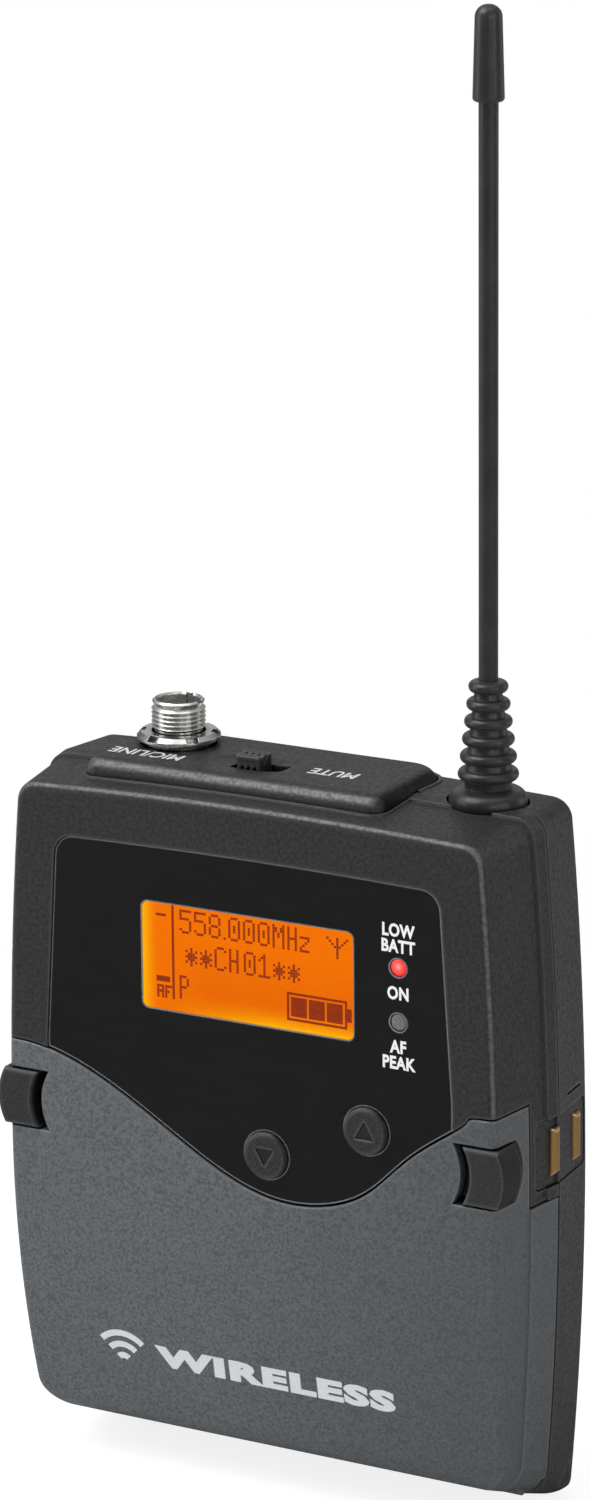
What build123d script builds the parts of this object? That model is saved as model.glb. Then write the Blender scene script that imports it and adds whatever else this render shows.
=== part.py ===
from build123d import *
import math
import os

# Wireless bodypack transmitter, worn on a belt. Millimetres, +Z up, +Y from the display to the back,
# +X to the right of someone who looks at the display.
# Depths are measured from the middle of the case and heights from a level just above its sloping underside.
# Each finished piece is then moved by TO_ORIGIN, which puts the origin in the middle of the footprint.

# ---- case ----
FRONT_Y = -10.5          # flat front face
REAR_Y = 10.5            # flat back face
PARTING_Y = 1.0          # plane where the two shells meet
SEAM_GAP = 0.22          # visible gap along every seam between shells and door
WIDEST_HALF = 30.4       # half width of the front face at its widest
WIDEST_Z = 33.0
TOP_EDGE_Z = 74.0        # height of the top at its ends
TOP_CROWN = 0.7          # how much the top arches up between its ends
UPPER_SIDE_R = 441.0     # radius of each side above the widest point
LOWER_SIDE_R = 430.0     # radius of each side below it
SECTION_LOW_Z = -9.0     # the sections reach below the underside, which then trims them
TOP_CORNER_R = 2.6
SIDE_DRAFT = 0.1375      # the sides spread this much per millimetre towards the parting plane
REAR_DRAFT = 0.09        # and close this much per millimetre behind it
TOP_RISE = 0.055         # the top rises this much per millimetre towards the parting plane
REAR_TOP_DRAFT = 0.03    # and falls this much per millimetre behind it
RIM_STEP = 0.3           # raised strip next to the parting plane
RIM_WIDTH = 2.0
DOOR_RIM_WIDTH = 5.0
FRONT_EDGE_R = 0.9
REAR_EDGE_R = 2.4
BEND_Z = 33.0            # below this height the front curves back
BEND_R = 138.0
CHIN_Z = 2.0             # where that curve turns into the tighter chin
CHIN_R = 4.3
BEND_END = math.degrees(math.asin((BEND_Z - CHIN_Z) / BEND_R))   # slope of the front where the chin begins
UNDERSIDE_SLOPE = 22.0   # degrees; the underside falls towards the back
LOWER_CORNER_R = 4.2     # rounding between each side and the underside
WALL = 1.4
FRONT_WALL = 2.2
TOP_WALL = 1.6
DOOR_WALL = 1.3

# ---- window, display, keys ----
WINDOW_TOP_Z = 68.5
WINDOW_CROWN = 0.4
WINDOW_TOP_HALF = 23.7
WINDOW_LOW_HALF = 25.2
WINDOW_LOW_Z = 45.0
WINDOW_THICKNESS = 1.2
WINDOW_SINK = 0.2
SCREEN_X, SCREEN_Z = 0.15, 56.45
SCREEN_WIDTH, SCREEN_HEIGHT = 26.1, 12.0
LAMP_X, RED_LAMP_Z, GREY_LAMP_Z, LAMP_R = 18.7, 59.4, 53.3, 1.0
DOWN_KEY = (2.4, 35.7)
UP_KEY = (14.8, 40.5)
KEY_R = 2.7
KEY_PROUD = 0.45         # how far a key's face stands in front of the case
ARROW_HALF = 1.15        # half width of the triangle cut into a key
ARROW_DEPTH = 0.2
INNER_KEYS = [(-17.6, 38.2), (-22.7, 38.8)]
INNER_KEY_R = 1.8
EYE = (23.6, 39.0)       # infrared eye, beside the inner keys
EYE_R = 1.5

# ---- door ----
WAVE_POINTS = [(-33, 44.1), (-27.5, 44.0), (-18.5, 41.2), (-5.9, 34.1), (4.1, 30.5),
               (14.0, 32.7), (21.0, 38.9), (26.9, 43.2), (33, 44.0)]
HINGE_Y, HINGE_Z = 0.15, -2.0
HINGE_CORNER_R = 0.85    # the door's corner round its hinge
HINGE_PIN_R = 0.4
PIN_X = (23.5, 27.4)     # each pin reaches from the tray's lug into the door's ear
EAR_X = (25.4, 28.4)
LUG_X = (23.3, 25.2)
LINER_Y = (-9.18, -8.88)
LATCH_Z = 37.45
LATCH_HALF = 3.25
LATCH_SPRING_Y, LATCH_SPRING_Z = -7.85, 35.0

# ---- battery ----
CELL_R, CELL_LENGTH = 7.2, 50.0
CELL_Y = 0.1
CELL_Z = (12.85, 27.45)
TRAY_HALF = 28.2
TRAY_WALL = 0.8
TRAY_Z = (4.7, 35.7)
TRAY_FRONT_Y = -5.6
TRAY_BACK_Y = 8.2

# ---- boards and screws ----
DISPLAY_BOARD_Y = (-6.5, -5.7)
KEY_BOARD_Y = (-3.9, -3.1)
MAIN_BOARD_Y = (4.2, 5.2)
POST_X = (-25.4, 25.4)   # posts that the case screws bite into
POST_Z = 48.5

# ---- top ----
PLATE_X = (-22.4, 15.0)
PLATE_Y = (-7.2, 9.0)
PLATE_TOP_Z = 76.75
PLATE_FLOOR_Z = 73.8
PLATE_FRONT_R, PLATE_BACK_R = 2.0, 4.0   # corners of the plate, seen from above
PLATE_EDGE_R = 1.8       # rounding of its upper edge
BEAD_WIDTH, BEAD_RISE = 0.3, 0.22        # fine raised line on the case round the plate
SOCKET_X, SOCKET_Y = -15.7, 2.9
SOCKET_TOP_Z = 81.8
SOCKET_THREAD_R, SOCKET_BORE_R = 3.0, 2.45
INSERT_R, INSERT_TOP_Z = 2.2, 73.0
THREAD_PITCH = 0.5
NUT_R = 4.65
NUT_FOOT_R = 3.9
NUT_RISE = (0.5, 1.45)   # the wide rim stands this far above the plate
MUTE_SLOT_X = (-6.3, 0.1)
MUTE_Y = -1.1
MUTE_SLOT_HALF = 1.55    # half width of the slot
MUTE_KNOB_X = -3.95
MUTE_KNOB_HALF = (1.65, 1.3)
MUTE_KNOB_RISE = 1.15    # height of the knob above the plate
MUTE_TRAVEL = 2.2
DISH_X, DISH_Y = -4.2, -0.9
DISH_DEPTH = 0.4
DISH_LONG_R, DISH_SHORT_R = 36.0, 12.0

# ---- antenna ----
ANTENNA_X, ANTENNA_Y = 22.7, 2.85
WHIP_R = 1.05
TIP_TOP_Z = 160.5
TIP_BOTTOM_Z = 150.4
BOOT_TOP_Z, BOOT_BASE_Z = 88.8, 74.2
BOOT_RINGS = 6
BOOT_RING_PITCH = 1.93
BOOT_TOP_R, BOOT_LOW_R = 2.15, 3.3
BOOT_FLANGE_R = 4.25
BOOT_HOLLOW_R = 4.5      # hollow in the top of the case that the flange sits in

# ---- charging contacts, right side ----
TAB_Y = -3.9
TAB_Z = 32.5
CONTACT_Y = (0.6, 6.1)
CONTACT_Z = 37.7
CONTACT_LENGTH = 5.4
RECESS_Y = (-3.0, 8.6)
RECESS_HALF_HEIGHT = 3.9
RECESS_CORNER_R = 0.8
PANEL_GAP = 0.14
PANEL_BACK_X = 28.4

# ---- belt clip ----
CLIP_AXIS = (8.0, -2.8)
CLIP_HALF_WIDTH = 13.0
CLIP_LEG = 3.5
CLIP_SHEET = 1.1
CLIP_ROD_R = 0.8
CLIP_CAP_R = 1.6
CLIP_EYE_R = 1.45
CAP_X = 28.25            # where each cap starts, outside the rod's end
CLIP_TOP_Z = 62.0

FIT = 0.05               # radial clearance of a moving fit
FAR = 90.0               # past the case in every direction, for cuts that go right through

TO_ORIGIN = Pos(0, -1.275, 5.88)


def face_plane(y):
    """Plane seen from the front: its x is X, its y is Z."""
    return Plane(origin=(0, y, 0), x_dir=(1, 0, 0), z_dir=(0, -1, 0))


def slab(sketch, y_from, y_to):
    """Extrude a front-view sketch between two depths."""
    return extrude(face_plane(y_to) * sketch, y_to - y_from)


def box(x_range, y_range, z_range):
    """Box from its three ranges."""
    sizes = [high - low for low, high in (x_range, y_range, z_range)]
    centre = [(low + high) / 2 for low, high in (x_range, y_range, z_range)]
    return Pos(*centre) * Box(*sizes)


def heights(z_from, z_to):
    """Everything between two heights."""
    return box((-FAR, FAR), (-FAR, FAR), (z_from, z_to))


def rod_x(x_from, x_to, y, z, radius):
    """Cylinder along X."""
    return Pos((x_from + x_to) / 2, y, z) * Rot(0, 90, 0) * Cylinder(radius, x_to - x_from)


def rod_y(x, y_from, y_to, z, radius):
    """Cylinder along Y."""
    return Pos(x, (y_from + y_to) / 2, z) * Rot(90, 0, 0) * Cylinder(radius, y_to - y_from)


def rod_z(x, y, z_from, z_to, radius):
    """Cylinder along Z."""
    return Pos(x, y, (z_from + z_to) / 2) * Cylinder(radius, z_to - z_from)


def side_half_width(z, spread):
    """Half width of the case at a height, on a section that is spread outwards."""
    radius = UPPER_SIDE_R if z > WIDEST_Z else LOWER_SIDE_R
    return WIDEST_HALF + spread - (z - WIDEST_Z) ** 2 / (2 * radius)


def case_section(spread, lift, inset):
    """Closed outline of the case: two arcs a side and an arched top, open-ended far below the underside."""
    top = TOP_EDGE_Z + lift - inset
    crown = top + TOP_CROWN
    bottom = SECTION_LOW_Z
    grow = spread - inset

    def side_point(z):
        return side_half_width(z, grow), z

    right = [
        ThreePointArc(side_point(bottom), side_point((bottom + WIDEST_Z) / 2), side_point(WIDEST_Z)),
        ThreePointArc(side_point(WIDEST_Z), side_point((top + WIDEST_Z) / 2), side_point(top)),
    ]
    corner_low = side_point(bottom)
    corner_top = side_point(top)
    left = [mirror(arc, Plane.YZ) for arc in right]
    floor = Line((-corner_low[0], bottom), corner_low)
    roof = ThreePointArc((-corner_top[0], top), (0, crown), corner_top)
    outline = make_face([floor, roof] + right + left)
    top_corners = [v for v in outline.vertices() if v.Y > top - 0.1 and abs(v.X) > 20]
    return fillet(top_corners, max(TOP_CORNER_R - inset, 0.6))


def section_growth(y):
    """Sideways and upward growth of the section at a depth."""
    if y <= PARTING_Y:
        depth = y - FRONT_Y
        return depth * SIDE_DRAFT, depth * TOP_RISE
    full = PARTING_Y - FRONT_Y
    behind = y - PARTING_Y
    return full * SIDE_DRAFT - behind * REAR_DRAFT, full * TOP_RISE - behind * REAR_TOP_DRAFT


def case_span(y_from, y_to, inset=0.0, proud=0.0):
    """Solid of the case between two depths, shrunk by inset or swollen by proud."""
    sections = []
    for y in (y_from, y_to):
        spread, lift = section_growth(y)
        sections.append(face_plane(y) * case_section(spread + proud, lift + proud, inset))
    return loft(sections, ruled=True)


def arc_about(centre, radius, start, end):
    """Arc in the side view; angles are in degrees below the forward direction."""
    def point(angle):
        turn = math.radians(angle)
        return centre[0] - radius * math.cos(turn), centre[1] - radius * math.sin(turn)

    return ThreePointArc(point(start), point((start + end) / 2), point(end))


def chin_centre():
    """Centre of the chin's arc in the side view; the chin runs smoothly out of the long bend."""
    turn = math.radians(BEND_END)
    reach = BEND_R - CHIN_R
    return FRONT_Y + BEND_R - reach * math.cos(turn), BEND_Z - reach * math.sin(turn)


def underside_z(y, inset=0.0):
    """Height of the sloping underside at a depth."""
    slope = math.radians(UNDERSIDE_SLOPE)
    centre_y, centre_z = chin_centre()
    return centre_z - (CHIN_R - inset) / math.cos(slope) - (y - centre_y) * math.tan(slope)


def side_profile(inset):
    """Side view that trims the case: upright front, long bend, chin, underside falling to the back."""
    bend = arc_about((FRONT_Y + BEND_R, BEND_Z), BEND_R - inset, 0, BEND_END)
    chin = arc_about(chin_centre(), CHIN_R - inset, BEND_END, 90 - UNDERSIDE_SLOPE)
    start = chin @ 1
    far_y = 40
    top_z = 90
    far_z = underside_z(far_y, inset)
    front = FRONT_Y + inset
    rest = Polyline((start.X, start.Y), (far_y, far_z), (far_y, top_z), (front, top_z), (front, BEND_Z))
    return extrude(Plane.YZ * make_face([bend, chin, rest]), 50, both=True)


def lower_corners(y_from, y_to, proud=0.0):
    """Space above the underside with both lower corners rounded; it trims the case."""
    sections = []
    for y in (y_from, y_to):
        spread, _ = section_growth(y)
        low = underside_z(y)
        knee = low + LOWER_CORNER_R
        half = side_half_width(knee, spread + proud)
        inner = half - LOWER_CORNER_R
        reach = LOWER_CORNER_R * math.sin(math.radians(45))
        right = ThreePointArc((inner, low), (inner + reach, knee - reach), (half, knee))
        rest = Polyline((half, knee), (40, knee), (40, 90), (-40, 90), (-40, knee), (-half, knee))
        floor = Line((-inner, low), (inner, low))
        sections.append(face_plane(y) * make_face([right, mirror(right, Plane.YZ), floor, rest]))
    return loft(sections, ruled=True)


def front_block():
    """Everything in front of the parting plane, with the rounded front edge, still solid."""
    body = case_span(FRONT_Y, PARTING_Y)
    body &= side_profile(0)
    faces = [f for f in body.faces() if f.normal_at().Y < -0.3]
    rim = [e for f in faces for e in f.edges() if on_rim(e)]
    return fillet(rim, FRONT_EDGE_R) & lower_corners(FRONT_Y - 1, PARTING_Y)


def on_rim(edge):
    """True for the edges between the front and the sides or the top, not for those across the front."""
    middle = edge.center()
    return (abs(middle.X) > WIDEST_HALF / 2 or middle.Z > TOP_EDGE_Z - 2) and middle.Y < PARTING_Y - 0.1


def wave_region(shift, y_from=-20, y_to=20):
    """Everything below the door's wavy top edge, moved up by shift."""
    points = [(x, z + shift) for x, z in WAVE_POINTS]
    wave = Spline(points, tangents=[(1, 0), (1, 0)])
    last = points[-1]
    first = points[0]
    sides = Polyline(last, (last[0], -10), (first[0], -10), first)
    return slab(make_face([wave, sides]), y_from, y_to)


def tab_region(gap):
    """Part of the right side where the case reaches down past the door's edge."""
    return box((26, 40), (TAB_Y - gap, 40), (TAB_Z - gap, 60))


def window_outline(gap):
    """Display window seen from the front; its lower edge follows the door."""
    top = WINDOW_TOP_Z + gap
    points = [
        (-WINDOW_TOP_HALF - gap, top),
        (WINDOW_TOP_HALF + gap, top),
        (WINDOW_LOW_HALF + gap, WINDOW_LOW_Z),
        (WINDOW_LOW_HALF + gap, 20),
        (-WINDOW_LOW_HALF - gap, 20),
        (-WINDOW_LOW_HALF - gap, WINDOW_LOW_Z),
    ]
    roof = ThreePointArc(points[0], (0, top + WINDOW_CROWN), points[1])
    outline = make_face([roof, Polyline(*points[1:], points[0])])
    corners = outline.vertices().group_by(Axis.Y)[-1]
    return fillet(corners, 2.4 + gap)


def screen_outline(gap):
    """Visible rectangle of the display."""
    size = RectangleRounded(SCREEN_WIDTH + 2 * gap, SCREEN_HEIGHT + 2 * gap, 0.7 + gap)
    return Pos(SCREEN_X, SCREEN_Z) * size


def front_openings():
    """Holes that the screen, the lamps and the two keys need through the front."""
    holes = slab(screen_outline(FIT), -20, FRONT_Y + 4)
    for x, z in (UP_KEY, DOWN_KEY):
        holes += rod_y(x, -20, FRONT_Y + 4, z, KEY_R + FIT)
    for z in (RED_LAMP_Z, GREY_LAMP_Z):
        holes += rod_y(LAMP_X, -20, FRONT_Y + 4, z, LAMP_R + 0.02)
    return holes


def recess_cut(depth):
    """Recess across both shells for the panel that holds the charging contacts."""
    length = RECESS_Y[1] - RECESS_Y[0]
    height = 2 * RECESS_HALF_HEIGHT
    middle = (RECESS_Y[0] + RECESS_Y[1]) / 2
    outline = RectangleRounded(length, height, RECESS_CORNER_R)
    plane = Plane(origin=(40, middle, CONTACT_Z), x_dir=(0, 1, 0), z_dir=(1, 0, 0))
    return extrude(plane * outline, -depth)


def plate_block(gap, top):
    """Block with the outline of the raised plate, widened by a gap, up to a height."""
    block = box((PLATE_X[0] - gap, PLATE_X[1] + gap), (PLATE_Y[0] - gap, PLATE_Y[1] + gap), (PLATE_FLOOR_Z, top))
    block = fillet(block.edges().filter_by(Axis.Z).group_by(Axis.Y)[-1], PLATE_BACK_R)
    return fillet(block.edges().filter_by(Axis.Z).group_by(Axis.Y)[0], PLATE_FRONT_R)


def plate_bead(y_from, y_to, proud):
    """Fine raised line round the plate, on the part of the case between two depths."""
    ring = plate_block(BEAD_WIDTH, FAR) - plate_block(0, FAR)
    return ring & case_span(y_from, y_to, proud=proud + BEAD_RISE)


def top_openings():
    """Holes through the top for the socket, the mute switch and the antenna."""
    holes = rod_z(SOCKET_X, SOCKET_Y, 60, FAR, NUT_FOOT_R + 0.2)
    holes += box((MUTE_SLOT_X[0] - 1, MUTE_SLOT_X[1] + 1), (MUTE_Y - 2.6, MUTE_Y + 2.6), (60, FAR))
    holes += rod_z(ANTENNA_X, ANTENNA_Y, 60, FAR, 2.6)
    holes += rod_z(ANTENNA_X, ANTENNA_Y, BOOT_BASE_Z, FAR, BOOT_HOLLOW_R)
    return holes


def front_shell():
    """Front half of the case above the door, with the tab that holds the contacts."""
    body = front_block()
    body += case_span(PARTING_Y - RIM_WIDTH, PARTING_Y, proud=RIM_STEP) & heights(20, FAR)
    cavity_top = TOP_EDGE_Z - TOP_WALL
    cavity = case_span(FRONT_Y + FRONT_WALL, PARTING_Y + 1, inset=WALL)
    body -= cavity & heights(0, cavity_top)
    keep_tab = tab_region(0)
    body -= wave_region(SEAM_GAP) - keep_tab
    sink = FRONT_Y + WINDOW_SINK + WINDOW_THICKNESS
    body -= slab(window_outline(0.08), -20, sink)
    body -= plate_block(0, FAR)
    body += plate_bead(FRONT_Y, PARTING_Y, 0)
    body -= front_openings() + top_openings()
    body -= recess_cut(12)
    return body + key_panel() + screw_posts(-8.3, PARTING_Y)


def key_panel():
    """Recessed wall under the door's arms, with holes for the two inner keys and the infrared eye."""
    panel = case_span(-6.4, -5.6, inset=DOOR_WALL + 0.25) & heights(36.0, 46.0)
    panel -= box((-2.9, 19.8), (-20, 20), (0, 90))
    for x, z in INNER_KEYS:
        panel -= rod_y(x, -20, 0, z, INNER_KEY_R + FIT)
    panel -= rod_y(EYE[0], -20, 0, EYE[1], EYE_R + 0.02)
    return panel + box((-28.0, -2.9), (-8.4, -5.6), (44.8, 46.0)) + box((19.8, 28.0), (-8.4, -5.6), (44.8, 46.0))


def screw_posts(y_from, y_to):
    """Two hollow posts near the upper corners that the case screws bite into."""
    posts = [rod_y(x, y_from, y_to, POST_Z, 2.0) - rod_y(x, y_from - 1, y_to + 1, POST_Z, 0.9) for x in POST_X]
    return posts[0] + posts[1]


def rear_block():
    """Everything behind the parting plane, with its rounded back, still solid."""
    body = case_span(PARTING_Y + SEAM_GAP, REAR_Y, proud=RIM_STEP) & side_profile(0)
    back_face = body.faces().sort_by(Axis.Y)[-1]
    body = fillet(back_face.edges(), REAR_EDGE_R)
    return body & lower_corners(PARTING_Y, REAR_Y + 1, RIM_STEP)


def rear_shell():
    """Rear half of the case: rounded back, clip slots, screw holes, half of the contact recess."""
    body = rear_block()
    cavity_top = TOP_EDGE_Z - TOP_WALL
    cavity = case_span(PARTING_Y - 1, REAR_Y - WALL, inset=WALL) & side_profile(WALL)
    body -= cavity & heights(-20, cavity_top)
    body -= plate_block(0, FAR)
    body += plate_bead(PARTING_Y + SEAM_GAP, REAR_Y, RIM_STEP)
    body -= top_openings()
    body -= recess_cut(12)
    clip_y, clip_z = CLIP_AXIS
    for side in (-1, 1):
        leg = sorted((side * (CLIP_HALF_WIDTH - CLIP_LEG - 0.25), side * (CLIP_HALF_WIDTH + 0.25)))
        body -= box(leg, (clip_y - 2.0, 20), (SECTION_LOW_Z, clip_z + 4.7))
    body -= rod_x(-FAR, FAR, clip_y, clip_z, CLIP_ROD_R + FIT)
    for side in (-1, 1):
        body -= rod_x(*sorted((side * CAP_X, side * 40)), clip_y, clip_z, CLIP_CAP_R + 0.04)
    for x in POST_X:
        body -= rod_y(x, 0, REAR_Y + 1, POST_Z, 1.0)
        body -= rod_y(x, REAR_Y - 0.9, REAR_Y + 1, POST_Z, 1.9)
    body -= box((31.0, 33.0), (3.6, 7.4), (43.0, 43.3))
    return body


def top_plate():
    """Raised plate round the socket and the mute switch, with rounded edges."""
    plate = plate_block(-FIT, PLATE_TOP_Z)
    plate = fillet(plate.edges().group_by(Axis.Z)[-1], PLATE_EDGE_R)
    plate -= rod_z(SOCKET_X, SOCKET_Y, 60, FAR, SOCKET_THREAD_R + 0.15)
    plate -= rod_z(SOCKET_X, SOCKET_Y, PLATE_TOP_Z - 1.0, FAR, NUT_FOOT_R + 0.3)
    slot_middle = sum(MUTE_SLOT_X) / 2
    slot = RectangleRounded(MUTE_SLOT_X[1] - MUTE_SLOT_X[0], 2 * MUTE_SLOT_HALF, 0.6)
    plate -= Pos(slot_middle, MUTE_Y, 60) * extrude(slot, 30)
    return plate - mute_dish()


def mute_dish():
    """Shallow oval hollow round the mute knob: an arc turned about a line above the plate."""
    reach = DISH_LONG_R / 4
    rise = DISH_LONG_R - math.sqrt(DISH_LONG_R ** 2 - reach ** 2)
    arc = ThreePointArc((-reach, rise - DISH_SHORT_R), (0, -DISH_SHORT_R), (reach, rise - DISH_SHORT_R))
    rest = Polyline((reach, rise - DISH_SHORT_R), (reach, 0), (-reach, 0), (-reach, rise - DISH_SHORT_R))
    spindle = revolve(Plane.XZ * make_face([arc, rest]), Axis.X)
    return Pos(DISH_X, DISH_Y, PLATE_TOP_Z + DISH_SHORT_R - DISH_DEPTH) * spindle


def display_window():
    """Glossy pane with openings for the screen, the lamps and the keys."""
    front = FRONT_Y + WINDOW_SINK
    pane = slab(window_outline(0), front, front + WINDOW_THICKNESS)
    pane -= wave_region(SEAM_GAP + 0.1)
    return pane - front_openings()


def window_gasket():
    """Thin foam frame round the display module, behind the front wall."""
    back = FRONT_Y + FRONT_WALL
    outer = slab(screen_outline(2.2), back, back + 0.4)
    return outer - slab(screen_outline(0.3), back - 1, back + 1)


def lcd_module():
    """Display glass; its face is flush with the window."""
    front = FRONT_Y + WINDOW_SINK + 0.02
    glass = slab(screen_outline(0), front, FRONT_Y + FRONT_WALL + 0.4)
    backing = slab(screen_outline(2.0), FRONT_Y + FRONT_WALL + 0.4, DISPLAY_BOARD_Y[0] - 0.02)
    return glass + backing


def display_board():
    """Circuit board behind the window, with a tongue behind the two front keys."""
    board = box((-21, 21.5), DISPLAY_BOARD_Y, (46.5, 71))
    board += box((-1.0, 19.0), DISPLAY_BOARD_Y, (33.2, 46.5))
    for x in (-19, 19.5):
        board -= rod_y(x, -10, 0, 69, 0.8)
    return board


def lamp(z):
    """Light pipe of one indicator with a domed face."""
    front = FRONT_Y + WINDOW_SINK
    pipe = rod_y(LAMP_X, front, DISPLAY_BOARD_Y[0] - 0.05, z, LAMP_R)
    return fillet(pipe.edges().sort_by(Axis.Y)[0], 0.35)


def key_arrow(x, z, direction):
    """Triangular cut in a key's face; direction is 1 for up and -1 for down."""
    base_z = z - direction * ARROW_HALF * 0.75
    corners = [(x - ARROW_HALF, base_z), (x + ARROW_HALF, base_z), (x, z + direction * ARROW_HALF)]
    outline = make_face(Polyline(*corners, corners[0]))
    return slab(outline, FRONT_Y - 2, FRONT_Y - KEY_PROUD + ARROW_DEPTH)


def front_key(x, z, direction):
    """Round key with a soft edge, its triangle and a collar that keeps it in."""
    cap = rod_y(x, FRONT_Y - KEY_PROUD, FRONT_Y + FRONT_WALL + 0.1, z, KEY_R)
    cap = fillet(cap.edges().sort_by(Axis.Y)[0], 0.5)
    cap -= key_arrow(x, z, direction)
    collar = rod_y(x, FRONT_Y + FRONT_WALL + 0.05, FRONT_Y + FRONT_WALL + 0.55, z, KEY_R + 0.5)
    return cap + collar


def tact_switch(x, back, z, size):
    """Small square switch in front of a board, with its round plunger."""
    base = box((x - size, x + size), (back - 0.4, back), (z - size, z + size))
    return base + rod_y(x, back - 0.62, back - 0.4, z, size * 0.5)


def front_switches():
    """Switches behind the two front keys."""
    x_up, z_up = UP_KEY
    x_down, z_down = DOWN_KEY
    back = DISPLAY_BOARD_Y[0]
    return Compound([tact_switch(x_up, back, z_up, 1.8), tact_switch(x_down, back, z_down, 1.8)])


def key_board():
    """Small board behind the recessed wall, under the two inner keys."""
    return box((-26.0, -14.0), KEY_BOARD_Y, (36.3, 43.0))


def inner_key(x, z):
    """Small key that shows only with the door open."""
    cap = rod_y(x, -7.2, -5.55, z, INNER_KEY_R)
    cap = fillet(cap.edges().sort_by(Axis.Y)[0], 0.3)
    return cap + rod_y(x, -5.55, -5.1, z, INNER_KEY_R + 0.4)


def inner_switches():
    """Switches behind the two inner keys."""
    return Compound([tact_switch(x, KEY_BOARD_Y[0], z, 1.5) for x, z in INNER_KEYS])


def infrared_eye():
    """Dark lens of the infrared link, beside the inner keys."""
    lens = rod_y(EYE[0], -6.9, -5.0, EYE[1], EYE_R)
    return fillet(lens.edges().sort_by(Axis.Y)[0], 0.5)


def latch_window(side):
    """Notch in the door for one latch: bowed inner edge in front, an arc on the side."""
    half = LATCH_HALF + 0.25
    low, high = LATCH_Z - half, LATCH_Z + half
    inner = side * 25.2
    bow = ThreePointArc((inner, low), (side * 26.2, LATCH_Z), (inner, high))
    rest = Polyline((inner, high), (side * 40, high), (side * 40, low), (inner, low))
    front_cut = slab(make_face([bow, rest]), -20, -5.2)
    arc_radius = 5.2
    x_range = sorted((side * 24, side * 41))
    return front_cut & rod_x(*x_range, FRONT_Y + 0.1, LATCH_Z, arc_radius)


def battery_door():
    """Door over the batteries: front, both sides and the bottom, hinged at the bottom."""
    body = front_block()
    strip_y = PARTING_Y - DOOR_RIM_WIDTH
    strip = case_span(strip_y, PARTING_Y, proud=0.2) & lower_corners(strip_y, PARTING_Y, 0.2) & side_profile(0.2)
    body += strip & heights(HINGE_Z + 1.2, FAR)
    body -= case_span(FRONT_Y, PARTING_Y + 1, inset=DOOR_WALL) & side_profile(DOOR_WALL)
    body &= wave_region(0)
    body -= tab_region(SEAM_GAP)
    body -= box((-40, 40), (HINGE_Y, 20), (-20, HINGE_Z)) - rod_x(-FAR, FAR, HINGE_Y, HINGE_Z, HINGE_CORNER_R)
    for side in (-1, 1):
        body -= latch_window(side)
        ear_x = sorted((side * EAR_X[0], side * EAR_X[1]))
        body += rod_x(*ear_x, HINGE_Y, HINGE_Z, HINGE_CORNER_R)
        lug_room = sorted((side * (LUG_X[0] - 0.2), side * (LUG_X[1] + 0.2)))
        body -= rod_x(*lug_room, HINGE_Y, HINGE_Z, HINGE_CORNER_R + 0.2)
        body -= box(lug_room, (HINGE_Y - HINGE_CORNER_R - 0.2, 20), (HINGE_Z, HINGE_Z + 8))
    return body - rod_x(-PIN_X[1] - 0.2, PIN_X[1] + 0.2, HINGE_Y, HINGE_Z, HINGE_PIN_R + FIT)


def hinge_pins():
    """Two short pins that join the door's ears to the tray's lugs."""
    return Compound([rod_x(*sorted((side * PIN_X[0], side * PIN_X[1])), HINGE_Y, HINGE_Z, HINGE_PIN_R)
                     for side in (-1, 1)])


def door_liner():
    """Stiffening plate on the inside of the door, with posts for the latch springs."""
    front, back = LINER_Y
    plate = box((-24.6, 24.6), (-20, 0), (6.5, 29.0))
    plate = fillet(plate.edges().filter_by(Axis.Y), 1.5)
    plate &= side_profile(DOOR_WALL + 0.02)
    plate -= side_profile(DOOR_WALL + 0.32)
    arms = box((-24.6, -18.4), (front, back), (28.0, 36.2)) + box((18.4, 24.6), (front, back), (28.0, 36.2))
    plate += arms & wave_region(-0.8) & side_profile(DOOR_WALL + 0.02)
    for side in (-1, 1):
        plate += box(sorted((side * 18.4, side * 19.4)), (back - 0.1, -7.0), (33.9, 36.0))
    for x in (-15, -5, 5, 15):
        plate -= slab(Pos(x, 17.5) * RectangleRounded(6.5, 17, 1.2), -20, 0)
    return plate


def latch(side):
    """Press-in latch: a bowed pad outside, a guide plate inside the door."""
    low, high = LATCH_Z - LATCH_HALF, LATCH_Z + LATCH_HALF
    inner = side * 26.5
    hollow = ThreePointArc((inner, low), (side * 27.4, LATCH_Z), (inner, high))
    outer = ThreePointArc((side * 30.9, high), (side * 31.75, LATCH_Z), (side * 30.9, low))
    edges = [hollow, Line((inner, high), (side * 30.9, high)), outer, Line((side * 30.9, low), (inner, low))]
    pad = slab(make_face(edges), FRONT_Y - 0.35, -6.9)
    pad = fillet(pad.edges().group_by(Axis.Y)[0], 0.35)
    guide = box(sorted((side * 23.9, side * 28.6)), (-8.6, -7.75), (34.4, 38.6))
    return pad + guide


def latch_spring(side):
    """Small coil spring between the latch and its post."""
    start = side * 19.45
    end = side * 23.85
    return coil_x(min(start, end), max(start, end), LATCH_SPRING_Y, LATCH_SPRING_Z, 0.75, 0.16, 0.62)


def coil_x(x_from, x_to, y, z, radius, wire, pitch):
    """Coil spring along X, its ends ground flat."""
    length = x_to - x_from
    helix = Helix(pitch=pitch, height=length, radius=radius)
    wire_section = Plane(origin=helix @ 0, z_dir=helix % 0) * Circle(wire)
    coil = sweep(wire_section, path=helix, is_frenet=True)
    placed = Pos(x_from, y, z) * Rot(0, 90, 0) * coil
    return placed & box((x_from, x_to), (y - 9, y + 9), (z - 9, z + 9))


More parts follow.
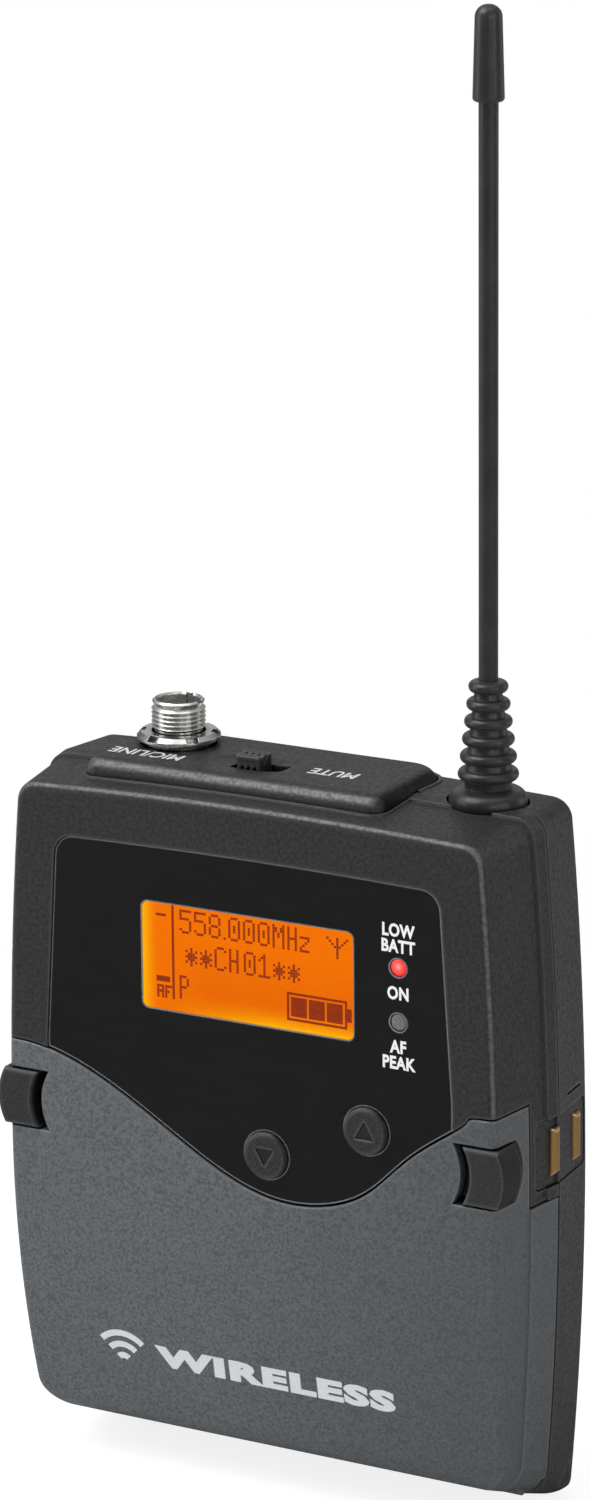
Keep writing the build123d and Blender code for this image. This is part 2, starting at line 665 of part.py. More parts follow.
def battery_tray():
    """Open-fronted trough for the two cells, with the lugs that carry the door."""
    ends = (-TRAY_HALF, TRAY_HALF)
    tray = box(ends, (TRAY_FRONT_Y, TRAY_BACK_Y), TRAY_Z)
    tray -= box((-TRAY_HALF + TRAY_WALL, TRAY_HALF - TRAY_WALL), (-20, TRAY_BACK_Y - TRAY_WALL),
                (TRAY_Z[0] + TRAY_WALL, TRAY_Z[1] - TRAY_WALL))
    for side in (-1, 1):
        lug_x = sorted((side * LUG_X[0], side * LUG_X[1]))
        lug = rod_x(*lug_x, HINGE_Y, HINGE_Z, HINGE_CORNER_R)
        lug += box(lug_x, (HINGE_Y - HINGE_CORNER_R, HINGE_Y + HINGE_CORNER_R), (HINGE_Z, TRAY_Z[0] + 0.1))
        tray += lug - rod_x(*lug_x, HINGE_Y, HINGE_Z, HINGE_PIN_R)
    return tray & case_span(FRONT_Y + 0.5, REAR_Y - WALL - 0.1, inset=WALL + 0.3)


def cell(z):
    """One AA cell with its positive nub."""
    half = CELL_LENGTH / 2 - 0.5
    body = rod_x(-half, half, CELL_Y, z, CELL_R)
    body = fillet(body.edges().filter_by(GeomType.CIRCLE), 0.5)
    direction = 1 if z == CELL_Z[0] else -1
    nub = rod_x(*sorted((direction * half, direction * (half + 1.0))), CELL_Y, z, 2.7)
    return body + nub


def contact_plate(side, z):
    """Sprung metal plate at one end of a cell."""
    outer = side * (TRAY_HALF - TRAY_WALL)
    inner = outer - side * 0.35
    plate = box(sorted((inner, outer)), (CELL_Y - 4.5, CELL_Y + 4.5), (z - 5, z + 5))
    return fillet(plate.edges().filter_by(Axis.X), 1.2)


def cell_contacts():
    """Four contact plates, one at each end of each cell."""
    plates = []
    for z in CELL_Z:
        positive = 1 if z == CELL_Z[0] else -1
        bump_start = positive * (TRAY_HALF - TRAY_WALL - 0.3)
        bump_end = positive * (CELL_LENGTH / 2 + 0.52)
        bump = rod_x(*sorted((bump_start, bump_end)), CELL_Y, z, 2.0)
        plates.append(contact_plate(positive, z) + bump)
        plates.append(contact_plate(-positive, z))
    return Compound(plates)


def cell_springs():
    """Coil springs at the negative ends of the two cells."""
    springs = []
    near = CELL_LENGTH / 2 - 0.5 + 0.02
    far = TRAY_HALF - TRAY_WALL - 0.37
    for z in CELL_Z:
        if z == CELL_Z[0]:
            springs.append(coil_x(-far, -near, CELL_Y, z, 3.4, 0.3, 0.85))
        else:
            springs.append(coil_x(near, far, CELL_Y, z, 3.4, 0.3, 0.85))
    return Compound(springs)


def main_board():
    """Transmitter board behind the display, above the tray."""
    board = box((-26, 26), MAIN_BOARD_Y, (37.5, 65.5))
    for x in POST_X:
        board -= rod_y(x, 0, 9, POST_Z, 2.3)
    return board


def shield_can():
    """Folded metal can over the transmitter stage."""
    can = box((2, 21), (1.4, MAIN_BOARD_Y[0]), (52, 65))
    can = fillet(can.edges().filter_by(Axis.Y), 0.8)
    holes = [rod_y(5 + 3.5 * i, 0, 2, 63, 0.5) for i in range(5)]
    for hole in holes:
        can -= hole
    return can


def board_chips():
    """Integrated circuits on the main board."""
    chips = [((-20, -12), (2.8, 4.2), (52, 60)), ((-8, -2), (3.0, 4.2), (56, 62)),
             ((-20, -13), (3.0, 4.2), (40, 46)), ((-6, 0), (3.2, 4.2), (40, 44)),
             ((6, 14), (3.0, 4.2), (40, 48))]
    return Compound([box(*ranges) for ranges in chips])


def ribbon_cable():
    """Flat cable between the display board and the main board."""
    section = Polyline((DISPLAY_BOARD_Y[1], 49.0), (0.5, 49.0), (0.5, 50.2), (MAIN_BOARD_Y[0], 50.2),
                       (MAIN_BOARD_Y[0], 50.0), (0.7, 50.0), (0.7, 48.8), (DISPLAY_BOARD_Y[1], 48.8),
                       (DISPLAY_BOARD_Y[1], 49.0))
    return Pos(-4, 0, 0) * extrude(Plane.YZ * make_face(section), 4, both=True)


def mic_socket():
    """Threaded socket barrel with two shallow keyways, and its body below the plate."""
    half = THREAD_PITCH / 2
    z = PLATE_TOP_Z + NUT_RISE[1] + 0.3
    points = [(INSERT_R, 67.0), (3.9, 67.0), (3.9, 72.8), (SOCKET_THREAD_R - 0.3, 72.8),
              (SOCKET_THREAD_R - 0.3, z)]
    while z + THREAD_PITCH < SOCKET_TOP_Z - 0.4:
        points.append((SOCKET_THREAD_R, z + half))
        points.append((SOCKET_THREAD_R - 0.3, z + THREAD_PITCH))
        z += THREAD_PITCH
    points += [(SOCKET_THREAD_R - 0.1, SOCKET_TOP_Z - 0.2), (SOCKET_THREAD_R - 0.3, SOCKET_TOP_Z),
               (SOCKET_BORE_R + 0.15, SOCKET_TOP_Z), (SOCKET_BORE_R, SOCKET_TOP_Z - 0.2),
               (SOCKET_BORE_R, INSERT_TOP_Z), (INSERT_R, INSERT_TOP_Z)]
    barrel = revolve(Plane.XZ * make_face(Polyline(*points, points[0])), Axis.Z)
    barrel = Pos(SOCKET_X, SOCKET_Y, 0) * barrel
    keyway = box((SOCKET_X - 0.45, SOCKET_X + 0.45), (SOCKET_Y + 2.0, SOCKET_Y + 2.6), (76.0, 90))
    notch = box((SOCKET_X + 2.0, SOCKET_X + 4), (SOCKET_Y - 0.5, SOCKET_Y + 0.5), (SOCKET_TOP_Z - 0.5, 90))
    return barrel - keyway - notch


def socket_nut():
    """Slotted ring nut that clamps the socket to the plate: a narrow foot, then a wide rounded rim."""
    low = PLATE_TOP_Z + NUT_RISE[0]
    high = PLATE_TOP_Z + NUT_RISE[1]
    ring = rod_z(SOCKET_X, SOCKET_Y, low, high, NUT_R)
    ring = chamfer(ring.edges().sort_by(Axis.Z)[-1], 0.45)
    ring = fillet(ring.edges().sort_by(Axis.Z)[0], 0.2)
    for step in range(6):
        slot = Pos(NUT_R, 0, high) * Box(1.9, 1.4, 1.1)
        ring -= Pos(SOCKET_X, SOCKET_Y, 0) * Rot(0, 0, 20 + 60 * step) * slot
    ring += rod_z(SOCKET_X, SOCKET_Y, PLATE_TOP_Z - 1.0, low + 0.1, NUT_FOOT_R)
    return ring - rod_z(SOCKET_X, SOCKET_Y, 60, FAR, SOCKET_THREAD_R + 0.02)


def socket_insert():
    """Insulating insert that holds the pins at the bottom of the barrel."""
    return rod_z(SOCKET_X, SOCKET_Y, 67.5, INSERT_TOP_Z, INSERT_R) - socket_pin_set(0.25)


def socket_pin_set(radius):
    """Three pins on a circle inside the barrel."""
    pins = None
    for angle in (90, 210, 330):
        x = SOCKET_X + 1.25 * math.cos(math.radians(angle))
        y = SOCKET_Y + 1.25 * math.sin(math.radians(angle))
        pin = rod_z(x, y, 66.0, INSERT_TOP_Z - 0.1, radius)
        pins = pin if pins is None else pins + pin
    return pins


def mute_knob():
    """Sliding knob with slanting grip ribs, and the tongue that reaches the switch."""
    x = MUTE_KNOB_X
    top = PLATE_TOP_Z + MUTE_KNOB_RISE
    half_x, half_y = MUTE_KNOB_HALF
    knob = box((x - half_x, x + half_x), (MUTE_Y - half_y, MUTE_Y + half_y), (PLATE_TOP_Z - 1.6, top))
    knob = fillet(knob.edges().filter_by(Axis.Z), 0.4)
    groove_pitch, groove_size = 0.8, 0.42
    for step in range(-2, 3):
        place = Pos(x + groove_pitch * step, MUTE_Y, top)
        knob -= place * Rot(0, 0, -30) * Rot(45, 0, 90) * Box(9, groove_size, groove_size)
    return knob + box((x - 1.2, x + 1.2), (MUTE_Y - 1.0, MUTE_Y + 1.0), (73.1, PLATE_TOP_Z - 1.5))


def mute_switch():
    """Slide-switch body under the plate."""
    body = box((-8.0, 2.6), (MUTE_Y - 2.8, MUTE_Y + 2.8), (69.6, 72.3))
    return body - box((MUTE_KNOB_X - 1.5, MUTE_KNOB_X + 1.5 + MUTE_TRAVEL), (MUTE_Y - 1.5, MUTE_Y + 1.5), (72.0, 80))


def antenna_seat():
    """Shallow metal collar in the top of the case."""
    collar = rod_z(ANTENNA_X, ANTENNA_Y, 70.6, BOOT_BASE_Z, 2.55)
    flange = rod_z(ANTENNA_X, ANTENNA_Y, 70.6, 72.2, 3.3)
    return collar + flange - rod_z(ANTENNA_X, ANTENNA_Y, 60, FAR, 1.2)


def antenna_boot():
    """Rubber boot: a flange, then rings that shrink towards the top."""
    points = [(WHIP_R + 0.02, BOOT_BASE_Z + 0.02)]
    points.append((BOOT_FLANGE_R - 0.5, BOOT_BASE_Z + 0.02))
    profile = [Polyline(*points)]
    flange_top = BOOT_BASE_Z + 2.3
    profile.append(ThreePointArc(points[-1], (BOOT_FLANGE_R, BOOT_BASE_Z + 0.95),
                                 (BOOT_LOW_R - 0.1, flange_top)))
    core = BOOT_LOW_R - 0.75
    z = flange_top + 0.25
    profile.append(Line((BOOT_LOW_R - 0.1, flange_top), (core, z)))
    for ring in range(BOOT_RINGS):
        share = ring / (BOOT_RINGS - 1)
        radius = BOOT_LOW_R + (BOOT_TOP_R - BOOT_LOW_R) * share
        next_core = radius - 0.72
        centre = BOOT_TOP_Z - 1.0 - (BOOT_RINGS - 1 - ring) * BOOT_RING_PITCH
        low, high = centre - 0.62, centre + 0.62
        profile.append(Line((core, z), (next_core, low)))
        profile.append(ThreePointArc((next_core, low), (radius, centre), (next_core, high)))
        core, z = next_core, high
    profile.append(Polyline((core, z), (WHIP_R + 0.02, BOOT_TOP_Z - 0.3), points[0]))
    return Pos(ANTENNA_X, ANTENNA_Y, 0) * revolve(Plane.XZ * make_face(profile), Axis.Z)


def antenna_whip():
    """Sheathed flexible rod."""
    return rod_z(ANTENNA_X, ANTENNA_Y, BOOT_BASE_Z + 0.05, TIP_TOP_Z - 1.5, WHIP_R)


def antenna_cap():
    """Moulded cap over the end of the whip."""
    outer = Pos(ANTENNA_X, ANTENNA_Y, TIP_BOTTOM_Z) * Cone(1.7, 1.42, TIP_TOP_Z - TIP_BOTTOM_Z,
                                                          align=(Align.CENTER, Align.CENTER, Align.MIN))
    outer = fillet(outer.edges().sort_by(Axis.Z)[-1], 1.35)
    outer = fillet(outer.edges().sort_by(Axis.Z)[0], 0.4)
    return outer - rod_z(ANTENNA_X, ANTENNA_Y, 100, TIP_TOP_Z - 1.48, WHIP_R + 0.01)


def antenna_stud():
    """Threaded stud that feeds the whip through the collar."""
    stud = rod_z(ANTENNA_X, ANTENNA_Y, 67.6, BOOT_BASE_Z, 1.15)
    return stud + rod_z(ANTENNA_X, ANTENNA_Y, 67.6, 69.4, 1.9)


def feed_spring():
    """Sheet spring from the board to the antenna stud."""
    foot = box((ANTENNA_X - 1, ANTENNA_X + 1), (ANTENNA_Y - 1.0, MAIN_BOARD_Y[0] - 0.02), (64.6, 65.0))
    rise = box((ANTENNA_X - 1, ANTENNA_X + 1), (ANTENNA_Y - 1.0, ANTENNA_Y - 0.6), (64.6, 67.5))
    return foot + rise + box((ANTENNA_X - 1, ANTENNA_X + 1), (ANTENNA_Y - 1.0, ANTENNA_Y + 1.0), (67.1, 67.5))


def contact_block():
    """Insulating panel that fills the recess, almost flush, with a thin gap round it."""
    length = RECESS_Y[1] - RECESS_Y[0] - 2 * PANEL_GAP
    height = 2 * (RECESS_HALF_HEIGHT - PANEL_GAP)
    middle = (RECESS_Y[0] + RECESS_Y[1]) / 2
    plane = Plane(origin=(PANEL_BACK_X, middle, CONTACT_Z), x_dir=(0, 1, 0), z_dir=(1, 0, 0))
    block = extrude(plane * RectangleRounded(length, height, RECESS_CORNER_R), 10)
    block &= case_span(FRONT_Y + 2, PARTING_Y, inset=0.12) + case_span(PARTING_Y, REAR_Y, inset=-0.15)
    for y in CONTACT_Y:
        block -= contact_hole(y)
    return block


def contact_hole(y):
    """Slot for one charging contact."""
    half = CONTACT_LENGTH / 2
    return box((20, 40), (y - 0.82, y + 0.82), (CONTACT_Z - half, CONTACT_Z + half))


def charging_contacts():
    """Two upright gilt bars with rounded noses and ends."""
    half = CONTACT_LENGTH / 2 - 0.02
    bars = []
    for y, tip in zip(CONTACT_Y, (32.35, 32.1)):
        bar = box((28.9, tip), (y - 0.8, y + 0.8), (CONTACT_Z - half, CONTACT_Z + half))
        bar = fillet(bar.edges().group_by(Axis.X)[-1], 0.6)
        bars.append(bar)
    return Compound(bars)


def belt_clip():
    """Sprung steel clip: two eyes on the rod, a flat tongue up the back, a turned-out lip."""
    clip_y, clip_z = CLIP_AXIS
    sheet = CLIP_SHEET
    back = REAR_Y + 1.5
    side_view = [(clip_y, clip_z - CLIP_EYE_R), (REAR_Y + 0.3, clip_z - CLIP_EYE_R), (back + sheet, clip_z + 4.6),
                 (back + sheet + 0.4, 30), (REAR_Y + 1.4, CLIP_TOP_Z - 5), (back + sheet, CLIP_TOP_Z),
                 (back, CLIP_TOP_Z + 0.4), (REAR_Y + 0.25, CLIP_TOP_Z - 5), (back - 0.4, 30),
                 (back, clip_z + 5.1), (REAR_Y, clip_z + 0.2), (clip_y, clip_z + 0.2)]
    sheet_body = extrude(Plane.YZ * make_face(Polyline(*side_view, side_view[0])), CLIP_HALF_WIDTH, both=True)
    eye = rod_x(-CLIP_HALF_WIDTH, CLIP_HALF_WIDTH, clip_y, clip_z, CLIP_EYE_R)
    clip = sheet_body + eye
    between = CLIP_HALF_WIDTH - CLIP_LEG
    clip -= box((-between, between), (0, 30), (-20, clip_z + 9.1))
    clip -= slab(Pos(0, 38) * RectangleRounded(12, 30, 3), 0, 30)
    return clip - rod_x(-FAR, FAR, clip_y, clip_z, CLIP_ROD_R + FIT)


def clip_rod():
    """Rod that carries the clip, through both sides of the rear shell."""
    clip_y, clip_z = CLIP_AXIS
    return rod_x(-CAP_X, CAP_X, clip_y, clip_z, CLIP_ROD_R)


def clip_caps():
    """Round caps that close the rod's holes, flush with the sides."""
    clip_y, clip_z = CLIP_AXIS
    shape = rear_block()
    caps = []
    for side in (-1, 1):
        cap = rod_x(*sorted((side * (CAP_X + 0.02), side * 40)), clip_y, clip_z, CLIP_CAP_R)
        caps.append(cap & shape)
    return Compound(caps)


def case_screws():
    """Screws from the back into the front shell's posts."""
    screws = []
    for x in POST_X:
        shank = rod_y(x, -4, REAR_Y - 0.95, POST_Z, 0.88)
        head = rod_y(x, REAR_Y - 0.9, REAR_Y - 0.1, POST_Z, 1.8)
        cross = box((x - 0.25, x + 0.25), (REAR_Y - 0.6, REAR_Y), (POST_Z - 1.1, POST_Z + 1.1))
        cross += box((x - 1.1, x + 1.1), (REAR_Y - 0.6, REAR_Y), (POST_Z - 0.25, POST_Z + 0.25))
        screws.append(shank + head + rod_y(x, REAR_Y - 1.0, REAR_Y - 0.85, POST_Z, 0.88) - cross)
    return Compound(screws)


NODES = {
    "front_shell": front_shell,
    "rear_shell": rear_shell,
    "top_plate": top_plate,
    "display_window": display_window,
    "window_gasket": window_gasket,
    "lcd_module": lcd_module,
    "display_board": display_board,
    "red_lamp": lambda: lamp(RED_LAMP_Z),
    "grey_lamp": lambda: lamp(GREY_LAMP_Z),
    "up_key": lambda: front_key(*UP_KEY, 1),
    "down_key": lambda: front_key(*DOWN_KEY, -1),
    "front_switches": front_switches,
    "key_board": key_board,
    "set_key": lambda: inner_key(*INNER_KEYS[0]),
    "power_key": lambda: inner_key(*INNER_KEYS[1]),
    "inner_switches": inner_switches,
    "infrared_eye": infrared_eye,
    "battery_door": battery_door,
    "door_liner": door_liner,
    "latch_left": lambda: latch(-1),
    "latch_right": lambda: latch(1),
    "latch_spring_left": lambda: latch_spring(-1),
    "latch_spring_right": lambda: latch_spring(1),
    "hinge_pins": hinge_pins,
    "battery_tray": battery_tray,
    "lower_cell": lambda: cell(CELL_Z[0]),
    "upper_cell": lambda: cell(CELL_Z[1]),
    "cell_contacts": cell_contacts,
    "cell_springs": cell_springs,
    "main_board": main_board,
    "shield_can": shield_can,
    "board_chips": board_chips,
    "ribbon_cable": ribbon_cable,
    "mic_socket": mic_socket,
    "socket_nut": socket_nut,
    "socket_insert": socket_insert,
    "socket_pins": lambda: socket_pin_set(0.25),
    "mute_knob": mute_knob,
    "mute_switch": mute_switch,
    "antenna_seat": antenna_seat,
    "antenna_boot": antenna_boot,
    "antenna_whip": antenna_whip,
    "antenna_cap": antenna_cap,
    "antenna_stud": antenna_stud,
    "feed_spring": feed_spring,
    "contact_block": contact_block,
    "charging_contacts": charging_contacts,
    "belt_clip": belt_clip,
    "clip_rod": clip_rod,
    "clip_caps": clip_caps,
    "case_screws": case_screws,
}

os.makedirs("parts", exist_ok=True)
for name, build in NODES.items():
    export_step(TO_ORIGIN * build(), f"parts/{name}.step")
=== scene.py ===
import math

import bmesh
import bpy
from mathutils import Matrix, Vector

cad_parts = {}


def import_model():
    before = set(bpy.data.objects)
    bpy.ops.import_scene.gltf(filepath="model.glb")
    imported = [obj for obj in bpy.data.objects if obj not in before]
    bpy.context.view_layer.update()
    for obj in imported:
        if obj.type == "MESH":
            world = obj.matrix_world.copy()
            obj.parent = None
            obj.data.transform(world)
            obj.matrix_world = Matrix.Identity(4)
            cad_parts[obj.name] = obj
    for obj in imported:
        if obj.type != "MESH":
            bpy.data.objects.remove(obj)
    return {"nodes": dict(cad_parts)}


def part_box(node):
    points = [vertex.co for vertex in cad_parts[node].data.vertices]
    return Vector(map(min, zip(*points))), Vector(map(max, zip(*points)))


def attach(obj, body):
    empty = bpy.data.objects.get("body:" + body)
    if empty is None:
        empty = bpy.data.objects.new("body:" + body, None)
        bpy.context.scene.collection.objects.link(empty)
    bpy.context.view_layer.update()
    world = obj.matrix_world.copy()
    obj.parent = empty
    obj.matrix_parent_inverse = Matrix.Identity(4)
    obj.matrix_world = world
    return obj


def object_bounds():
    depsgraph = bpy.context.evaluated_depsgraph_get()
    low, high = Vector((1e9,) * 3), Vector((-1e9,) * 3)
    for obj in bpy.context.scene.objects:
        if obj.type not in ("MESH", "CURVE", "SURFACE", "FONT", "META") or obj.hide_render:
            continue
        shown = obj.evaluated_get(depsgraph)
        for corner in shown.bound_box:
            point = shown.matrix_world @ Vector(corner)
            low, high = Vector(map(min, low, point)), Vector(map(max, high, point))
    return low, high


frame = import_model()
cad_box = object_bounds()
MM = 0.001


# ---------------------------------------------------------------- node helpers

class Shader:
    """A material's node tree, with short calls for the nodes that repeat."""

    def __init__(self, name):
        self.material = bpy.data.materials.new(name)
        self.material.use_nodes = True
        self.tree = self.material.node_tree
        self.surface = self.tree.nodes["Principled BSDF"]
        self.coords = self.tree.nodes.new("ShaderNodeTexCoord").outputs["Object"]
        self.normal = None

    def link(self, source, target):
        self.tree.links.new(source, target)

    def put(self, name, value):
        """Sets or links one input of the surface."""
        socket = self.surface.inputs[name]
        if isinstance(value, bpy.types.NodeSocket):
            self.link(value, socket)
        elif isinstance(value, (tuple, list)):
            socket.default_value = (*value[:3], 1)
        else:
            socket.default_value = value

    def noise(self, size, detail=2.0, stretch=(1, 1, 1)):
        """Noise whose features are about size millimetres across, stretched along the axes."""
        mapping = self.tree.nodes.new("ShaderNodeMapping")
        mapping.inputs["Scale"].default_value = [s / (size * MM) for s in stretch]
        self.link(self.coords, mapping.inputs["Vector"])
        node = self.tree.nodes.new("ShaderNodeTexNoise")
        node.inputs["Scale"].default_value = 1.0
        node.inputs["Detail"].default_value = detail
        self.link(mapping.outputs["Vector"], node.inputs["Vector"])
        return node.outputs["Fac"]

    def cells(self, size):
        """Random value per cell, for flakes about size millimetres across."""
        node = self.tree.nodes.new("ShaderNodeTexVoronoi")
        node.inputs["Scale"].default_value = 1 / (size * MM)
        self.link(self.coords, node.inputs["Vector"])
        split = self.tree.nodes.new("ShaderNodeSeparateColor")
        self.link(node.outputs["Color"], split.inputs["Color"])
        return split.outputs["Red"]

    def ramp(self, value, *stops):
        """Colour or grey ramp. Each stop is (position, colour or grey)."""
        node = self.tree.nodes.new("ShaderNodeValToRGB")
        elements = node.color_ramp.elements
        while len(elements) < len(stops):
            elements.new(0.5)
        for element, (position, colour) in zip(elements, stops):
            element.position = position
            shade = colour if isinstance(colour, tuple) else (colour,) * 3
            element.color = (*shade, 1)
        self.link(value, node.inputs["Fac"])
        return node.outputs["Color"]

    def range(self, value, low, high, out_low=0.0, out_high=1.0):
        """Maps a value from one range to another, clamped."""
        node = self.tree.nodes.new("ShaderNodeMapRange")
        self.link(value, node.inputs["Value"])
        numbers = {"From Min": low, "From Max": high, "To Min": out_low, "To Max": out_high}
        for name, number in numbers.items():
            node.inputs[name].default_value = number
        return node.outputs["Result"]

    def mix(self, factor, first, second):
        """Mixes two colours, or sockets, by a factor."""
        node = self.tree.nodes.new("ShaderNodeMix")
        node.data_type = "RGBA"
        for index, value in ((6, first), (7, second)):
            if isinstance(value, bpy.types.NodeSocket):
                self.link(value, node.inputs[index])
            else:
                node.inputs[index].default_value = (*value[:3], 1)
        if isinstance(factor, bpy.types.NodeSocket):
            self.link(factor, node.inputs[0])
        else:
            node.inputs[0].default_value = factor
        return node.outputs[2]

    def math(self, operation, first, second=0.0):
        """One arithmetic step."""
        node = self.tree.nodes.new("ShaderNodeMath")
        node.operation = operation
        for index, value in ((0, first), (1, second)):
            if isinstance(value, bpy.types.NodeSocket):
                self.link(value, node.inputs[index])
            else:
                node.inputs[index].default_value = value
        return node.outputs[0]

    def axis(self, letter):
        """One coordinate of the point, in millimetres."""
        node = self.tree.nodes.new("ShaderNodeSeparateXYZ")
        self.link(self.coords, node.inputs["Vector"])
        return self.math("DIVIDE", node.outputs[letter], MM)

    def round_edges(self, radius):
        """Softens every edge in the shading by a radius in millimetres."""
        node = self.tree.nodes.new("ShaderNodeBevel")
        node.samples = 4
        node.inputs["Radius"].default_value = radius * MM
        self.normal = node.outputs["Normal"]

    def edge_mask(self, radius):
        """0 on flat faces, rising towards edges within the radius in millimetres."""
        bevel = self.tree.nodes.new("ShaderNodeBevel")
        bevel.samples = 4
        bevel.inputs["Radius"].default_value = radius * MM
        geometry = self.tree.nodes.new("ShaderNodeNewGeometry")
        dot = self.tree.nodes.new("ShaderNodeVectorMath")
        dot.operation = "DOT_PRODUCT"
        self.link(bevel.outputs["Normal"], dot.inputs[0])
        self.link(geometry.outputs["Normal"], dot.inputs[1])
        return self.range(dot.outputs["Value"], 0.999, 0.93)

    def crevices(self, reach):
        """1 in the open, falling to 0 inside gaps narrower than the reach in millimetres; used to paint shade
        into gaps.
        """
        node = self.tree.nodes.new("ShaderNodeAmbientOcclusion")
        node.samples = 6
        node.inputs["Distance"].default_value = reach * MM
        return self.range(node.outputs["AO"], 0.25, 0.8)

    def facing(self):
        """The surface's normal in the object's own axes, as three values."""
        geometry = self.tree.nodes.new("ShaderNodeNewGeometry")
        to_object = self.tree.nodes.new("ShaderNodeVectorTransform")
        to_object.vector_type = "NORMAL"
        to_object.convert_from, to_object.convert_to = "WORLD", "OBJECT"
        self.link(geometry.outputs["Normal"], to_object.inputs["Vector"])
        split = self.tree.nodes.new("ShaderNodeSeparateXYZ")
        self.link(to_object.outputs["Vector"], split.inputs["Vector"])
        return split.outputs

    def corner_mask(self):
        """1 on corners rounded towards the front, 0 on faces nearly square to an axis of the object."""
        normal = self.facing()
        x, y, z = (self.math("ABSOLUTE", normal[letter]) for letter in "XYZ")
        largest = self.math("MAXIMUM", self.math("MAXIMUM", x, y), z)
        forward = self.range(normal["Y"], -0.1, -0.35)
        return self.math("MULTIPLY", self.range(largest, 0.92, 0.80), forward)

    def bump(self, height, depth):
        """Adds relief of a depth in millimetres on top of what is there already."""
        node = self.tree.nodes.new("ShaderNodeBump")
        node.inputs["Distance"].default_value = depth * MM
        node.inputs["Strength"].default_value = 1.0
        self.link(height, node.inputs["Height"])
        if self.normal is not None:
            self.link(self.normal, node.inputs["Normal"])
        self.normal = node.outputs["Normal"]

    def done(self):
        """Connects the collected relief and returns the material."""
        if self.normal is not None:
            self.link(self.normal, self.surface.inputs["Normal"])
        return self.material


def grey(value):
    return (value, value, value)


def middle(node):
    """Middle of a node's box."""
    low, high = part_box(node)
    return (low + high) / 2


# ---------------------------------------------------------------- materials

def grained_plastic(name, colour, rough, grain=0.42, depth=0.05, edge=0.35, painted_edge_highlight=0.6, corners=0.0, right=0.0):
    """Moulded plastic with a spark-eroded grain, with painted highlights along its edges and on rounded front
    corners.

    It has painted shade, darker and duller, in its gaps, and on its right-facing sides by the share given as
    right."""
    s = Shader(name)
    s.round_edges(edge)
    fine = s.noise(grain, detail=3)
    broad = s.noise(9.0, detail=3)
    s.bump(fine, depth)
    lighter = tuple(min(1.0, c * 1.5 + 0.003) for c in colour)
    darker = tuple(c * 0.66 for c in colour)
    tone = s.mix(s.range(fine, 0.36, 0.64), darker, lighter)
    tone = s.mix(s.range(broad, 0.35, 0.7, 0, 0.25), tone, darker)
    # Painted highlight: edges get a much lighter colour, standing in for light caught on them.
    painted_highlight_colour = tuple(min(1.0, c * 4.4 + 0.038) for c in colour)
    edges = s.math("MULTIPLY", s.edge_mask(edge * 1.3), painted_edge_highlight)
    # Painted highlight on rounded front corners, speckled by the grain.
    if corners:
        speckled = s.math("MULTIPLY", s.corner_mask(), s.range(fine, 0.35, 0.62, corners * 0.45, corners))
        edges = s.math("MAXIMUM", edges, speckled)
    tone = s.mix(edges, tone, painted_highlight_colour)
    # Painted shade: gaps get a much darker colour and less shine.
    outside_painted_shade = s.crevices(0.7)
    # Painted shade on right-facing sides, by the share given as right.
    if right:
        outside_painted_shade = s.math("MULTIPLY", outside_painted_shade, s.range(s.facing()["X"], 0.25, 0.6, 1.0, 1.0 - right))
    s.put("Base Color", s.mix(outside_painted_shade, tuple(c * 0.15 for c in colour), tone))
    shine = s.range(fine, 0.3, 0.7, rough + 0.08, rough - 0.08)
    s.put("Roughness", s.math("SUBTRACT", shine, s.math("MULTIPLY", edges, 0.15)))
    s.put("Specular IOR Level", s.math("MULTIPLY", outside_painted_shade, 0.45))
    return s.done()


def sparkle_paint():
    """Blue-grey metallic lacquer full of small flakes, with a painted highlight on its edges and painted
    shade towards its right side and in its gaps.
    """
    s = Shader("sparkle_paint")
    s.round_edges(0.4)
    flakes = s.cells(0.13)
    small = s.cells(0.07)
    mottle = s.noise(0.34, detail=3)
    broad = s.noise(14.0, detail=2)
    base = s.ramp(flakes, (0.0, (0.100, 0.111, 0.120)), (0.55, (0.128, 0.141, 0.151)),
                  (0.86, (0.150, 0.164, 0.174)), (1.0, (0.21, 0.227, 0.238)))
    tone = s.mix(s.range(small, 0.0, 1.0, 0.0, 0.4), base, (0.138, 0.150, 0.160))
    tone = s.mix(s.range(mottle, 0.36, 0.64, 0.0, 0.62), tone, (0.200, 0.214, 0.226))
    tone = s.mix(s.range(mottle, 0.52, 0.36, 0.0, 0.62), tone, (0.082, 0.091, 0.098))
    tone = s.mix(s.range(broad, 0.3, 0.75, 0.0, 0.15), tone, (0.10, 0.108, 0.116))
    # Painted highlight: a lighter blue-grey along the door's edges.
    edges = s.math("MULTIPLY", s.edge_mask(0.5), 0.4)
    # Painted shade: the paint darkens towards the right, where the key light falls off.
    tone = s.mix(s.range(s.axis("X"), -8, 32, 0.0, 0.45), tone, (0.055, 0.058, 0.062))
    tone = s.mix(edges, tone, (0.30, 0.32, 0.34))
    # Painted shade: the paint turns near-black in the door's gaps.
    s.put("Base Color", s.mix(s.crevices(0.5), (0.012, 0.013, 0.014), tone))
    s.put("Metallic", 0.35)
    s.put("Roughness", s.range(flakes, 0.0, 1.0, 0.5, 0.36))
    s.put("Coat Weight", 0.12)
    s.put("Coat Roughness", 0.35)
    s.bump(flakes, 0.006)
    return s.done()


def gloss_pane():
    """Black glossy pane with faint wipe marks and a painted highlight along its edges."""
    s = Shader("gloss_pane")
    s.round_edges(0.12)
    wipes = s.noise(5.0, detail=5, stretch=(1, 1, 3.5))
    face = s.mix(s.range(wipes, 0.4, 0.7), grey(0.0034), grey(0.0052))
    # Painted highlight: a light grey line along the pane's edges.
    s.put("Base Color", s.mix(s.math("MULTIPLY", s.edge_mask(0.3), 0.95), face, grey(0.42)))
    s.put("Roughness", s.range(wipes, 0.35, 0.75, 0.05, 0.13))
    s.put("Specular IOR Level", 0.26)
    return s.done()


